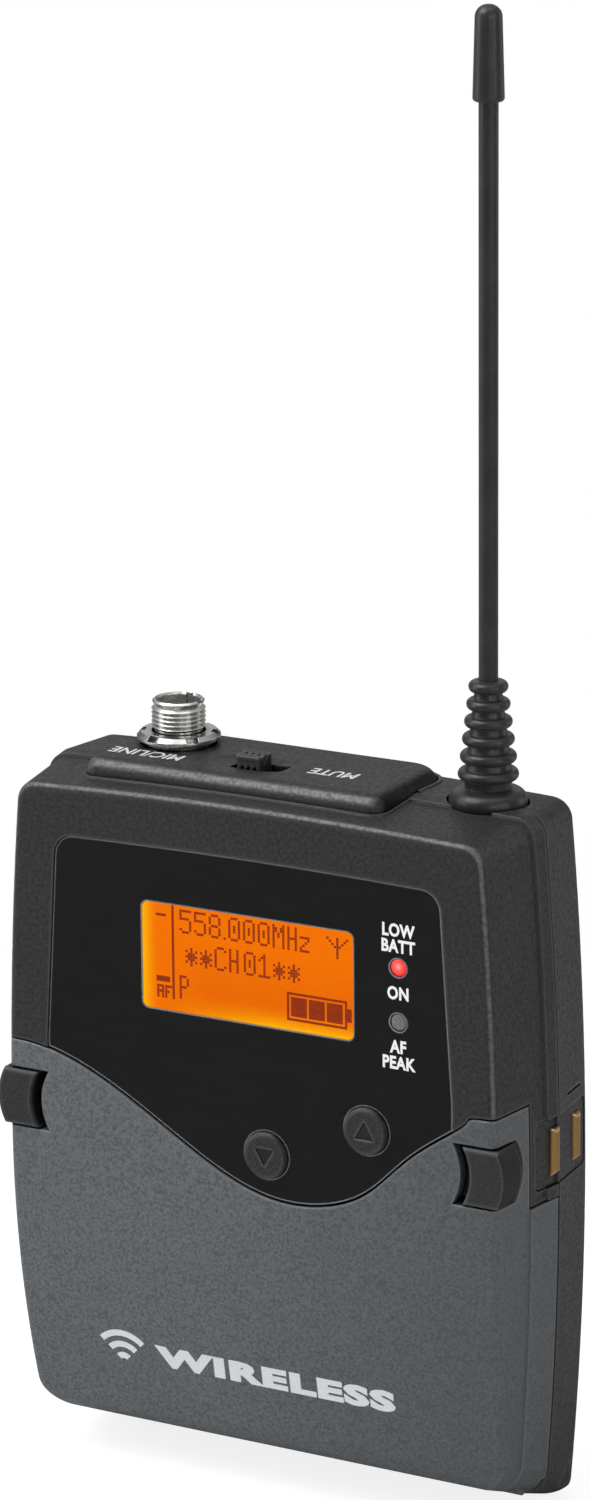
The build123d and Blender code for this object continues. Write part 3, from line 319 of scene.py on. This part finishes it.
def backlit_glass():
    """Orange display glass, brighter and yellower along the left and lower edges."""
    s = Shader("backlit_glass")
    x, z = s.axis("X"), s.axis("Z")
    left_edge = SCREEN_LEFT / MM
    low_edge = SCREEN_LOW / MM
    from_left = s.range(x, left_edge + 0.2, left_edge + 1.9, 1.0, 0.0)
    from_low = s.range(z, low_edge + 0.1, low_edge + 2.6, 1.0, 0.0)
    lean = s.range(x, left_edge + 3, left_edge + 16, 0.0, 1.0)
    glow_low = s.math("MULTIPLY", s.math("POWER", from_low, 2.0), lean)
    below = s.range(z, low_edge + 9, low_edge + 3)
    centre = s.math("MULTIPLY", below, s.range(x, left_edge + 2, left_edge + 8))
    mottled = s.range(s.noise(0.45, detail=1), 0.35, 0.65, 0.0, 0.08)
    tone = s.mix(centre, (0.90, 0.172, 0.001), (0.81, 0.142, 0.001))
    tone = s.mix(s.math("MAXIMUM", s.math("POWER", from_left, 1.6), glow_low), tone, (1.0, 0.44, 0.003))
    tone = s.mix(mottled, tone, (0.6, 0.08, 0.0))
    s.put("Base Color", (0.02, 0.004, 0.0))
    s.put("Emission Color", tone)
    s.put("Emission Strength", 1.0)
    s.put("Roughness", 0.1)
    s.put("Specular IOR Level", 0.03)
    return s.done()


def lamp_lens(name, colour, glow, rough):
    """Small moulded lens; a lit one glows from its middle, fading to deep red at its rim, and its whitish
    spot just above the middle is partly its own glow and partly a painted highlight.
    """
    s = Shader(name)
    fine = s.noise(0.25, detail=3)
    s.put("Base Color", s.mix(s.range(fine, 0.3, 0.7), colour, tuple(c * 0.6 for c in colour)))
    s.put("Roughness", s.range(fine, 0.3, 0.7, rough, rough + 0.12))
    if glow:
        # The lit lens's own glow, with a painted highlight in the whitish spot a little above its middle.
        centre = middle("red_lamp") / MM
        across = s.math("POWER", s.math("SUBTRACT", s.axis("X"), centre.x), 2.0)
        upright = s.math("POWER", s.math("SUBTRACT", s.axis("Z"), centre.z + 0.15), 2.0)
        away = s.math("SQRT", s.math("ADD", across, upright))
        rim = s.mix(s.range(away, 0.45, 0.95), (1.0, 0.10, 0.09), (0.62, 0.0, 0.0))
        s.put("Emission Color", s.mix(s.range(away, 0.0, 0.45), (1.0, 0.42, 0.38), rim))
        s.put("Emission Strength", glow)
    s.put("Coat Weight", 0.6)
    s.put("Coat Roughness", 0.08)
    return s.done()


def metal(name, colour, rough, grain=(1, 1, 1), dirt=0.4, edge=0.1, shine=None, metallic=1.0):
    """Plated or bare metal with fine tool marks and dull patches, and painted shade in its gaps; edges can
    carry a painted highlight colour.
    """
    s = Shader(name)
    s.round_edges(edge)
    marks = s.noise(0.35, detail=5, stretch=grain)
    patches = s.noise(2.6, detail=3)
    dull = tuple(c * 0.55 for c in colour)
    tone = s.mix(s.range(patches, 0.4, 0.75, 0, dirt), colour, dull)
    # Painted shade: the metal darkens in its gaps.
    tone = s.mix(s.crevices(1.5), tuple(c * 0.25 for c in colour), tone)
    # Painted highlight: edges take the shine colour.
    if shine:
        tone = s.mix(s.edge_mask(edge * 1.5), tone, shine)
    s.put("Base Color", tone)
    s.put("Metallic", metallic)
    s.put("Roughness", s.range(marks, 0.3, 0.7, rough, rough + 0.16))
    s.bump(marks, 0.004)
    return s.done()


def soft_rubber(name, colour, rough, grain=0.5):
    """Matt rubber with a faint bloom."""
    s = Shader(name)
    s.round_edges(0.2)
    fine = s.noise(grain, detail=5)
    bloom = s.noise(3.5, detail=3)
    dusty = tuple(min(1.0, c * 1.6 + 0.006) for c in colour)
    s.put("Base Color", s.mix(s.range(bloom, 0.4, 0.7, 0, 0.6), colour, dusty))
    s.put("Roughness", s.range(fine, 0.3, 0.7, rough - 0.06, rough + 0.1))
    s.put("Sheen Weight", 0.08)
    s.bump(fine, 0.012)
    return s.done()


def circuit_board():
    """Green solder mask over copper traces, with small pads."""
    s = Shader("circuit_board")
    brick = s.tree.nodes.new("ShaderNodeTexBrick")
    mapping = s.tree.nodes.new("ShaderNodeMapping")
    mapping.inputs["Rotation"].default_value = (math.pi / 2, 0, 0)
    mapping.inputs["Scale"].default_value = (1 / (3 * MM),) * 3
    s.link(s.coords, mapping.inputs["Vector"])
    s.link(mapping.outputs["Vector"], brick.inputs["Vector"])
    brick.inputs["Scale"].default_value = 1.0
    brick.inputs["Mortar Size"].default_value = 0.06
    brick.inputs["Color1"].default_value = (0.006, 0.06, 0.025, 1)
    brick.inputs["Color2"].default_value = (0.008, 0.075, 0.03, 1)
    brick.inputs["Mortar"].default_value = (0.02, 0.16, 0.06, 1)
    pads = s.range(s.cells(0.9), 0.93, 0.94)
    s.put("Base Color", s.mix(pads, brick.outputs["Color"], (0.75, 0.68, 0.5)))
    s.put("Metallic", pads)
    s.put("Roughness", s.range(s.noise(1.2), 0.3, 0.7, 0.3, 0.45))
    s.bump(brick.outputs["Fac"], 0.01)
    return s.done()


def cell_jacket(name, flip):
    """Printed foil jacket of a battery: dark body, coppery shoulder, bare ends."""
    s = Shader(name)
    x = s.math("MULTIPLY", s.axis("X"), flip)
    scuff = s.noise(1.5, detail=5, stretch=(0.3, 1, 1))
    body = s.mix(s.range(scuff, 0.4, 0.75, 0, 0.4), (0.02, 0.035, 0.06), (0.05, 0.07, 0.10))
    tone = s.mix(s.range(x, 11.4, 11.6), body, (0.55, 0.27, 0.12))
    bare = s.math("MAXIMUM", s.range(x, 23.3, 23.4), s.range(x, -23.3, -23.4))
    s.put("Base Color", s.mix(bare, tone, (0.6, 0.6, 0.58)))
    s.put("Metallic", s.math("MAXIMUM", s.range(x, 11.4, 11.6, 0.25, 0.8), bare))
    s.put("Roughness", s.range(scuff, 0.3, 0.7, 0.25, 0.42))
    return s.done()


def print_ink(name, colour, rough=0.55, glow=0.12):
    """Screen-printed ink, slightly uneven, with a painted glow that brightens it."""
    s = Shader(name)
    fine = s.noise(0.2, detail=3)
    s.put("Base Color", s.mix(s.range(fine, 0.3, 0.75), colour, tuple(c * 0.82 for c in colour)))
    s.put("Roughness", rough)
    # Painted light: the ink glows a little though it is no lamp.
    s.put("Emission Color", colour)
    s.put("Emission Strength", glow)
    return s.done()


def display_dots():
    """Darkened liquid-crystal dots over the orange light."""
    s = Shader("display_dots")
    fine = s.noise(0.3, detail=1)
    s.put("Base Color", (0.02, 0.004, 0.001))
    s.put("Emission Color", s.mix(s.range(fine, 0.3, 0.7), (0.27, 0.022, 0.0), (0.34, 0.034, 0.0)))
    s.put("Emission Strength", 0.85)
    s.put("Roughness", 0.1)
    s.put("Specular IOR Level", 0.2)
    return s.done()


def film_cable():
    """Amber film with copper lines along it."""
    s = Shader("film_cable")
    lines = s.tree.nodes.new("ShaderNodeTexWave")
    lines.wave_type = "BANDS"
    lines.inputs["Scale"].default_value = 160.0
    s.link(s.coords, lines.inputs["Vector"])
    s.put("Base Color", s.mix(lines.outputs["Fac"], (0.45, 0.18, 0.03), (0.62, 0.33, 0.10)))
    s.put("Roughness", s.range(s.noise(1.0), 0.3, 0.7, 0.25, 0.4))
    return s.done()


SCREEN_BORDER = 2.0 * MM     # the display module's backing reaches this far past its visible glass
SCREEN_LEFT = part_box("lcd_module")[0].x + SCREEN_BORDER
SCREEN_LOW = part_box("lcd_module")[0].z + SCREEN_BORDER
SCREEN_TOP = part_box("lcd_module")[1].z - SCREEN_BORDER

# Painted light in these plastics: corners and the edge number set how strongly edges and front corners get
# painted highlights; right sets painted shade on right-facing sides.
CASE = grained_plastic("case_plastic", (0.0188, 0.0188, 0.0192), 0.5, corners=0.95)
REAR = grained_plastic("rear_plastic", (0.026, 0.026, 0.0265), 0.52, corners=0.35)
TOP = grained_plastic("top_plastic", (0.0172, 0.0172, 0.0176), 0.47, corners=1.0, right=0.65)
KEYS = grained_plastic("key_plastic", (0.0205, 0.0205, 0.021), 0.5, grain=0.22, depth=0.015, edge=0.42,
                       painted_edge_highlight=0.8, right=0.55)
PANEL = grained_plastic("panel_plastic", (0.021, 0.021, 0.0215), 0.5, edge=0.15)
LINER = grained_plastic("liner_plastic", (0.014, 0.014, 0.015), 0.6, grain=0.4)
SWITCHES = grained_plastic("switch_plastic", (0.16, 0.16, 0.165), 0.45, grain=0.2, edge=0.15)
CHIPS = grained_plastic("chip_epoxy", (0.012, 0.012, 0.012), 0.6, grain=0.15, edge=0.12)
DOOR = sparkle_paint()
PANE = gloss_pane()
SCREEN = backlit_glass()
RED_LENS = lamp_lens("red_lens", (0.6, 0.01, 0.01), 0.9, 0.15)
GREY_LENS = lamp_lens("grey_lens", (0.19, 0.19, 0.19), 0.0, 0.3)
EYE_LENS = lamp_lens("eye_lens", (0.03, 0.002, 0.004), 0.0, 0.08)
NICKEL = metal("nickel_plate", (0.72, 0.71, 0.69), 0.14, grain=(1, 1, 4))
BARREL = metal("socket_plate", (0.86, 0.85, 0.83), 0.16, grain=(1, 1, 4), dirt=0.25, metallic=0.93)
TIN = metal("tin_plate", (0.60, 0.60, 0.58), 0.28, grain=(4, 1, 1))
SPRING = metal("spring_wire", (0.50, 0.50, 0.50), 0.24)
# The shine colour is a painted highlight along the contacts' edges.
GILT = metal("gilt", (0.42, 0.24, 0.085), 0.26, grain=(1, 1, 5), dirt=0.3, edge=0.22,
             shine=(1.0, 0.80, 0.48))
BLACK_STEEL = metal("black_oxide", (0.075, 0.075, 0.08), 0.34, grain=(1, 1, 5), dirt=0.5, edge=0.3)
RUBBER = soft_rubber("antenna_rubber", (0.014, 0.014, 0.014), 0.33)
FOAM = soft_rubber("foam", (0.03, 0.03, 0.03), 0.85, grain=0.35)
BOARD = circuit_board()
FILM = film_cable()
INK = print_ink("white_print", (0.80, 0.80, 0.80), glow=0.22)
PLATE_INK = print_ink("plate_print", (0.62, 0.62, 0.62), glow=0.2)
DOOR_INK = print_ink("door_print", (0.70, 0.71, 0.72))
DOTS = display_dots()
TRIANGLE = print_ink("key_mark", (0.006, 0.006, 0.006), 0.3)

NODE_MATERIALS = {
    CASE: ["front_shell"],
    REAR: ["rear_shell", "clip_caps"],
    TOP: ["top_plate"],
    KEYS: ["up_key", "down_key", "set_key", "power_key", "latch_left", "latch_right", "mute_knob"],
    LINER: ["door_liner", "battery_tray"],
    PANEL: ["contact_block"],
    SWITCHES: ["front_switches", "inner_switches", "mute_switch"],
    CHIPS: ["board_chips", "socket_insert"],
    DOOR: ["battery_door"],
    PANE: ["display_window"],
    SCREEN: ["lcd_module"],
    RED_LENS: ["red_lamp"],
    GREY_LENS: ["grey_lamp"],
    EYE_LENS: ["infrared_eye"],
    BARREL: ["mic_socket"],
    NICKEL: ["socket_nut", "cell_contacts", "antenna_seat"],
    TIN: ["shield_can"],
    SPRING: ["latch_spring_left", "latch_spring_right", "cell_springs", "hinge_pins", "clip_rod"],
    GILT: ["charging_contacts", "socket_pins", "antenna_stud", "feed_spring"],
    BLACK_STEEL: ["belt_clip", "case_screws"],
    RUBBER: ["antenna_boot", "antenna_whip", "antenna_cap"],
    FOAM: ["window_gasket"],
    BOARD: ["display_board", "key_board", "main_board"],
    FILM: ["ribbon_cable"],
    cell_jacket("lower_jacket", 1): ["lower_cell"],
    cell_jacket("upper_jacket", -1): ["upper_cell"],
}


def dress_nodes():
    """Gives every CAD node its material."""
    for material, names in NODE_MATERIALS.items():
        for name in names:
            node = frame["nodes"][name]
            if not node.material_slots:
                node.data.materials.append(material)
            for material_slot in node.material_slots:
                material_slot.material = material


# ---------------------------------------------------------------- made pieces

def add_piece(name, mesh, material, body):
    """Links a mesh as a piece that rides on a body."""
    piece = bpy.data.objects.new(name, mesh)
    bpy.context.scene.collection.objects.link(piece)
    mesh.materials.clear()
    mesh.materials.append(material)
    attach(piece, body)
    return piece


def add_built(name, work, material, body):
    """Turns a finished bmesh into a piece."""
    mesh = bpy.data.meshes.new(name)
    work.to_mesh(mesh)
    work.free()
    return add_piece(name, mesh, material, body)


FACING_FRONT = Matrix.Rotation(math.pi / 2, 4, "X")
FACING_UP_FROM_BEHIND = Matrix.Rotation(math.pi, 4, "Z")
PRINT_THICKNESS = 0.012 * MM


def text_mesh(words, height, bold, spacing=1.0, stretch=1.0):
    """Flat lettering of a cap height, centred on its origin, as a thin closed mesh."""
    curve = bpy.data.curves.new("lettering", "FONT")
    curve.body = words
    curve.size = height / 0.73
    curve.align_x = "CENTER"
    curve.align_y = "CENTER"
    curve.space_character = spacing
    curve.offset = bold
    curve.extrude = PRINT_THICKNESS / 2
    curve.resolution_u = 3
    holder = bpy.data.objects.new("lettering", curve)
    bpy.context.scene.collection.objects.link(holder)
    bpy.context.view_layer.update()
    evaluated = holder.evaluated_get(bpy.context.evaluated_depsgraph_get())
    mesh = bpy.data.meshes.new_from_object(evaluated)
    bpy.data.objects.remove(holder)
    mesh.transform(Matrix.Diagonal((stretch, 1, 1, 1)))
    return mesh


def lettering(name, words, height, place, facing, body, material=INK, bold=0.0, spacing=1.0, stretch=1.0):
    """Printed words on a surface."""
    mesh = text_mesh(words, height, bold, spacing, stretch)
    mesh.transform(Matrix.Translation(place) @ facing)
    return add_piece(name, mesh, material, body)


def window_print():
    """Words above and below the two lamps."""
    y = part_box("display_window")[0].y - PRINT_THICKNESS / 2
    words = [("LOW", "red_lamp", 4.1), ("BATT", "red_lamp", 2.33), ("ON", "red_lamp", -2.91),
             ("AF", "grey_lamp", -2.8), ("PEAK", "grey_lamp", -4.6)]
    for index, (word, lamp, rise) in enumerate(words):
        place = (middle(lamp).x, y, middle(lamp).z + rise * MM)
        lettering(f"window_print_{index}", word, 1.42 * MM, place, FACING_FRONT, "case",
                  bold=0.07 * MM, spacing=1.06, stretch=0.83)


def top_print():
    """Words by the socket and the mute switch, read from behind."""
    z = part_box("top_plate")[1].z + PRINT_THICKNESS / 2
    socket, knob = middle("mic_socket"), middle("mute_knob")
    lettering("socket_print", "MIC/LINE", 2.1 * MM, (socket.x - 0.7 * MM, socket.y - 5.6 * MM, z),
              FACING_UP_FROM_BEHIND, "case", PLATE_INK, bold=0.045 * MM, stretch=0.78)
    lettering("mute_print", "MUTE", 2.1 * MM, (knob.x + 9.65 * MM, knob.y + 0.7 * MM, z),
              FACING_UP_FROM_BEHIND, "case", PLATE_INK, bold=0.045 * MM, stretch=0.78)


MARK_CORNERS = [(-1.07, -0.82), (1.07, -0.82), (0.0, 1.03)]   # millimetres from the key's middle
MARK_DEPTHS = (0.21, 0.13)   # the paint lies between these depths behind the key's face


def key_marks():
    """Black paint at the bottom of the triangles cut into the two front keys."""
    for key, point_up in (("up_key", 1), ("down_key", -1)):
        face_y, x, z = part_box(key)[0].y, middle(key).x, middle(key).z
        work = bmesh.new()
        rings = []
        for depth in MARK_DEPTHS:
            y = face_y + depth * MM
            rings.append([work.verts.new((x + u * MM, y, z + point_up * v * MM)) for u, v in MARK_CORNERS])
        close_prism(work, *rings)
        add_built(f"{key}_mark", work, TRIANGLE, f"{key}_body")


def close_prism(work, low, high):
    """Closes the space between two rings of vertices with faces."""
    work.faces.new(low)
    work.faces.new(reversed(high))
    for i in range(len(low)):
        j = (i + 1) % len(low)
        work.faces.new((low[i], low[j], high[j], high[i]))
    bmesh.ops.recalc_face_normals(work, faces=work.faces)


GLYPHS = {
    "5": ["#####", "#....", "#....", "####.", "....#", "....#", "....#", "#...#", ".###."],
    "8": [".###.", "#...#", "#...#", "#...#", ".###.", "#...#", "#...#", "#...#", ".###."],
    "0": [".###.", "#...#", "#...#", "#.#.#", "#.#.#", "#.#.#", "#...#", "#...#", ".###."],
    "1": ["..#..", ".##..", "#.#..", "..#..", "..#..", "..#..", "..#..", "..#..", "#####"],
    "C": [".###.", "#...#", "#....", "#....", "#....", "#....", "#....", "#...#", ".###."],
    "H": ["#..#.", "#..#.", "#..#.", "#..#.", "####.", "#..#.", "#..#.", "#..#.", "#..#."],
    "M": ["#...#", "##.##", "##.##", "#.#.#", "#.#.#", "#...#", "#...#", "#...#", "#...#"],
    "z": [".....", ".....", ".....", "####.", "...#.", "..#..", ".#...", "#....", "####."],
    "P": ["###..", "#..#.", "#..#.", "#..#.", "###..", "#....", "#....", "#....", "#...."],
    "*": [".....", ".....", "..#..", "#.#.#", ".###.", "#####", ".###.", "#.#.#", "..#.."],
    ".": [".....", ".....", ".....", ".....", ".....", ".....", ".....", ".....", "#...."],
    "a": ["###", "#.#", "###", "#.#", "#.#"],
    "f": ["###", "#..", "##.", "#..", "#.."],
    "Y": ["#...#...#", ".#..#..#.", "..#.#.#..", "...###...",
          "....#....", "....#....", "....#....", "....#...."],
}
DOT = 0.3 * MM


def dot_boxes(work, spots, size, y):
    """Adds a thin box for each spot, given as (x, z) of its middle and its width and height."""
    for x, z, width, height in spots:
        grow = Matrix.Diagonal((width * size, PRINT_THICKNESS, height * size, 1))
        bmesh.ops.create_cube(work, size=1.0, matrix=Matrix.Translation((x, y, z)) @ grow)


def glyph_spots(character, left, top):
    """Dots of one character whose top left corner is given from the screen's top left."""
    spots = []
    for row, line in enumerate(GLYPHS[character]):
        for column, mark in enumerate(line):
            if mark == "#":
                x = SCREEN_LEFT + left * MM + (column + 0.5) * DOT
                z = SCREEN_TOP - top * MM - (row + 0.5) * DOT
                spots.append((x, z, DOT, DOT))
    return spots


def bar_spot(left, top, width, height):
    """A solid bar, in millimetres from the screen's top left."""
    x = SCREEN_LEFT + (left + width / 2) * MM
    z = SCREEN_TOP - (top + height / 2) * MM
    return (x, z, width * MM, height * MM)


def frequency_spots():
    """The frequency on the first line, with a narrow place for the point and a closer z."""
    spots = []
    place = 4.7
    for character in "558.000MHz":
        spots += glyph_spots(character, place, 0.3)
        place += {".": 0.6, "H": 1.53}.get(character, 1.83)
    return spots


def gauge_bars():
    """The battery gauge: a frame, its nub and three full blocks."""
    left, top, width, height, line = 18.0, 7.7, 7.4, 3.2, 0.28
    bars = [
        bar_spot(left, top, width, line),
        bar_spot(left, top + height - line, width, line),
        bar_spot(left, top + line, line, height - 2 * line),
        bar_spot(left + width - line, top + line, line, height - 2 * line),
        bar_spot(left + width, top + 0.85, 0.55, 1.5),
    ]
    return bars + [bar_spot(left + 0.5 + 2.2 * block, top + 0.5, 1.95, height - 1.0) for block in range(3)]


def display_print():
    """What the display shows: a frequency, a channel, the level bar and the battery gauge."""
    dots = frequency_spots()
    for index, character in enumerate("**CH01**"):
        dots += glyph_spots(character, 5.4 + 1.82 * index, 3.9)
    dots += glyph_spots("P", 4.6, 7.8)
    dots += glyph_spots("Y", 22.9, 0.75)
    dots += glyph_spots("a", 1.75, 9.2)
    dots += glyph_spots("f", 2.75, 9.2)
    divider = bar_spot(3.7, 0.0, 0.3, 10.7)
    level_marks = [bar_spot(1.75, 1.1, 1.25, 0.3), bar_spot(1.7, 8.2, 1.7, 0.65)]
    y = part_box("lcd_module")[0].y - PRINT_THICKNESS / 2
    work = bmesh.new()
    dot_boxes(work, dots, 0.93, y)
    dot_boxes(work, [divider] + level_marks + gauge_bars(), 1.0, y)
    add_built("display_print", work, DOTS, "case")


PRINT_RISE = 14.6 * MM       # height of the door's print above the origin
IN_FRONT = -0.05             # a depth well in front of the object, from which prints are laid on
ARC_RADII = (0.9, 2.3, 3.7)  # millimetres
ARC_WIDTH = 0.75 * MM


def drape(piece, node):
    """Moves each vertex of a front-facing print back onto a node's curved front."""
    target = frame["nodes"][node]
    to_local = target.matrix_world.inverted()
    for vertex in piece.data.vertices:
        start = Vector((vertex.co.x, IN_FRONT, vertex.co.z))
        found, spot, _, _ = target.ray_cast(to_local @ start, to_local.to_3x3() @ Vector((0, 1, 0)))
        if found:
            vertex.co.y += (target.matrix_world @ spot).y
    piece.data.update()


def door_print():
    """Plain generic word and three radio arcs low on the door, following its curved face."""
    y = -PRINT_THICKNESS / 2
    word = lettering("door_word", "WIRELESS", 2.35 * MM, (2.1 * MM, y, PRINT_RISE), FACING_FRONT, "door",
                     DOOR_INK, bold=0.2 * MM, spacing=1.14, stretch=1.92)
    drape(word, "battery_door")
    work = bmesh.new()
    centre = Vector((-17.5 * MM, y, PRINT_RISE - 1.6 * MM))
    for radius in ARC_RADII:
        arc_strip(work, centre, radius * MM, ARC_WIDTH)
    arcs = add_built("door_arcs", work, DOOR_INK, "door")
    drape(arcs, "battery_door")


def arc_strip(work, centre, radius, width):
    """A quarter-ring strip opening upwards."""
    steps = 14
    rings = []
    for step in range(steps + 1):
        angle = math.radians(45 + 90 * step / steps)
        ring = []
        for reach in (radius - width / 2, radius + width / 2):
            for depth in (-PRINT_THICKNESS / 2, PRINT_THICKNESS / 2):
                offset = Vector((math.cos(angle) * reach, depth, math.sin(angle) * reach))
                ring.append(work.verts.new(centre + offset))
        rings.append(ring)
    for here, there in zip(rings, rings[1:]):
        for a, b in ((0, 1), (1, 3), (3, 2), (2, 0)):
            work.faces.new((here[a], here[b], there[b], there[a]))
    for end in (rings[0], rings[-1]):
        work.faces.new((end[0], end[1], end[3], end[2]))
    bmesh.ops.recalc_face_normals(work, faces=work.faces)


# ---------------------------------------------------------------- stage

AIM = Vector((-0.0026, 0.0044, 0.0827))
CAMERA_DISTANCE = 0.6128
CAMERA_AZIMUTH, CAMERA_ELEVATION, CAMERA_ROLL = 29.37, 15.44, -0.53
FOCAL_LENGTH = 134.2


def direction(azimuth, elevation):
    """Unit vector towards a place seen at an azimuth from the front and a height above the horizon."""
    a, e = math.radians(azimuth), math.radians(elevation)
    return Vector((math.sin(a) * math.cos(e), -math.cos(a) * math.cos(e), math.sin(e)))


def camera():
    """Camera at the reference view."""
    data = bpy.data.cameras.new("camera")
    data.lens = FOCAL_LENGTH
    data.sensor_width = 36.0
    data.clip_start = 0.01
    holder = bpy.data.objects.new("camera", data)
    bpy.context.scene.collection.objects.link(holder)
    back = direction(CAMERA_AZIMUTH, CAMERA_ELEVATION)
    holder.location = AIM + back * CAMERA_DISTANCE
    turn = (-back).to_track_quat("-Z", "Y").to_matrix().to_4x4()
    roll = Matrix.Rotation(math.radians(CAMERA_ROLL), 4, "Z")
    holder.rotation_euler = (turn @ roll).to_euler()
    bpy.context.scene.camera = holder


def softbox(name, azimuth, elevation, distance, width, height, brightness):
    """Rectangular light aimed at the object. A brightness of 1 is the white of the picture."""
    data = bpy.data.lights.new(name, "AREA")
    data.shape = "RECTANGLE"
    data.size, data.size_y = width, height
    data.energy = brightness * math.pi * width * height
    holder = bpy.data.objects.new(name, data)
    bpy.context.scene.collection.objects.link(holder)
    away = direction(azimuth, elevation)
    holder.location = AIM + away * distance
    holder.rotation_euler = away.to_track_quat("Z", "Y").to_euler()


FLOOR_GAIN = 2.2
SHADOW_REACH = (0.04, 0.20)
SHADOW_STRENGTH = 0.16


def floor():
    """White floor that keeps the soft shadow near the object and fades to plain white beyond it."""
    s = Shader("floor")
    tree = s.tree
    paths = tree.nodes.new("ShaderNodeLightPath")
    mottle = s.range(s.noise(60.0), 0.3, 0.7, 0.86, 0.9)
    seen = s.math("MULTIPLY", mottle, FLOOR_GAIN)
    plain = s.math("ADD", s.math("MULTIPLY", paths.outputs["Is Glossy Ray"], -0.45), mottle)
    shade = s.mix(paths.outputs["Is Camera Ray"], plain, seen)
    diffuse = tree.nodes.new("ShaderNodeBsdfDiffuse")
    s.link(shade, diffuse.inputs["Color"])
    glow = tree.nodes.new("ShaderNodeEmission")
    length = tree.nodes.new("ShaderNodeVectorMath")
    length.operation = "LENGTH"
    s.link(s.coords, length.inputs[0])
    far = s.range(length.outputs["Value"], *SHADOW_REACH, 1 - SHADOW_STRENGTH, 1.0)
    fade = tree.nodes.new("ShaderNodeMixShader")
    s.link(s.math("MULTIPLY", far, paths.outputs["Is Camera Ray"]), fade.inputs[0])
    s.link(diffuse.outputs[0], fade.inputs[1])
    s.link(glow.outputs[0], fade.inputs[2])
    s.link(fade.outputs[0], tree.nodes["Material Output"].inputs["Surface"])
    bpy.ops.mesh.primitive_plane_add(size=8.0, location=(0, 0, cad_box[0].z - 0.05 * MM))
    plane = bpy.context.object
    plane.name = "floor"
    plane.data.materials.append(s.done())


def world():
    """White behind the object; for light and reflections, a sky with a dark band near the horizon."""
    setting = bpy.data.worlds.new("studio")
    bpy.context.scene.world = setting
    setting.use_nodes = True
    tree = setting.node_tree
    background = tree.nodes["Background"]
    coords = tree.nodes.new("ShaderNodeTexCoord")
    split = tree.nodes.new("ShaderNodeSeparateXYZ")
    ramp = tree.nodes.new("ShaderNodeValToRGB")
    elements = ramp.color_ramp.elements
    while len(elements) < 4:
        elements.new(0.5)
    for element, (position, shade) in zip(elements, ((0.0, 0.2), (0.5, 0.16), (0.62, 0.12), (0.85, 0.42))):
        element.position = position
        element.color = (shade, shade, shade, 1)
    height = tree.nodes.new("ShaderNodeMapRange")
    height.inputs["From Min"].default_value = -1.0
    paths = tree.nodes.new("ShaderNodeLightPath")
    pick = tree.nodes.new("ShaderNodeMix")
    pick.data_type = "RGBA"
    pick.inputs[7].default_value = (1, 1, 1, 1)
    tree.links.new(coords.outputs["Generated"], split.inputs["Vector"])
    tree.links.new(split.outputs["Z"], height.inputs["Value"])
    tree.links.new(height.outputs["Result"], ramp.inputs["Fac"])
    tree.links.new(paths.outputs["Is Camera Ray"], pick.inputs[0])
    tree.links.new(ramp.outputs["Color"], pick.inputs[6])
    tree.links.new(pick.outputs[2], background.inputs["Color"])


def lights():
    """Key from above on the left, soft panels all round."""
    softbox("key", -50, 55, 0.9, 0.7, 0.5, 4.5)
    softbox("overhead", 0, 88, 0.9, 0.9, 0.6, 1.0)
    softbox("front_left", -60, 15, 1.0, 0.5, 0.7, 2.0)
    softbox("right", 75, 10, 0.9, 0.35, 0.8, 1.6)
    softbox("front_right", 45, 14, 0.9, 0.3, 0.35, 2.2)
    softbox("behind_right", 140, 4, 0.9, 0.3, 0.6, 1.3)
    softbox("behind_left", 210, 18, 0.9, 0.8, 0.35, 0.35)


dress_nodes()
window_print()
top_print()
key_marks()
display_print()
door_print()
camera()
floor()
world()
lights()
bpy.context.scene.view_settings.view_transform = "Standard"
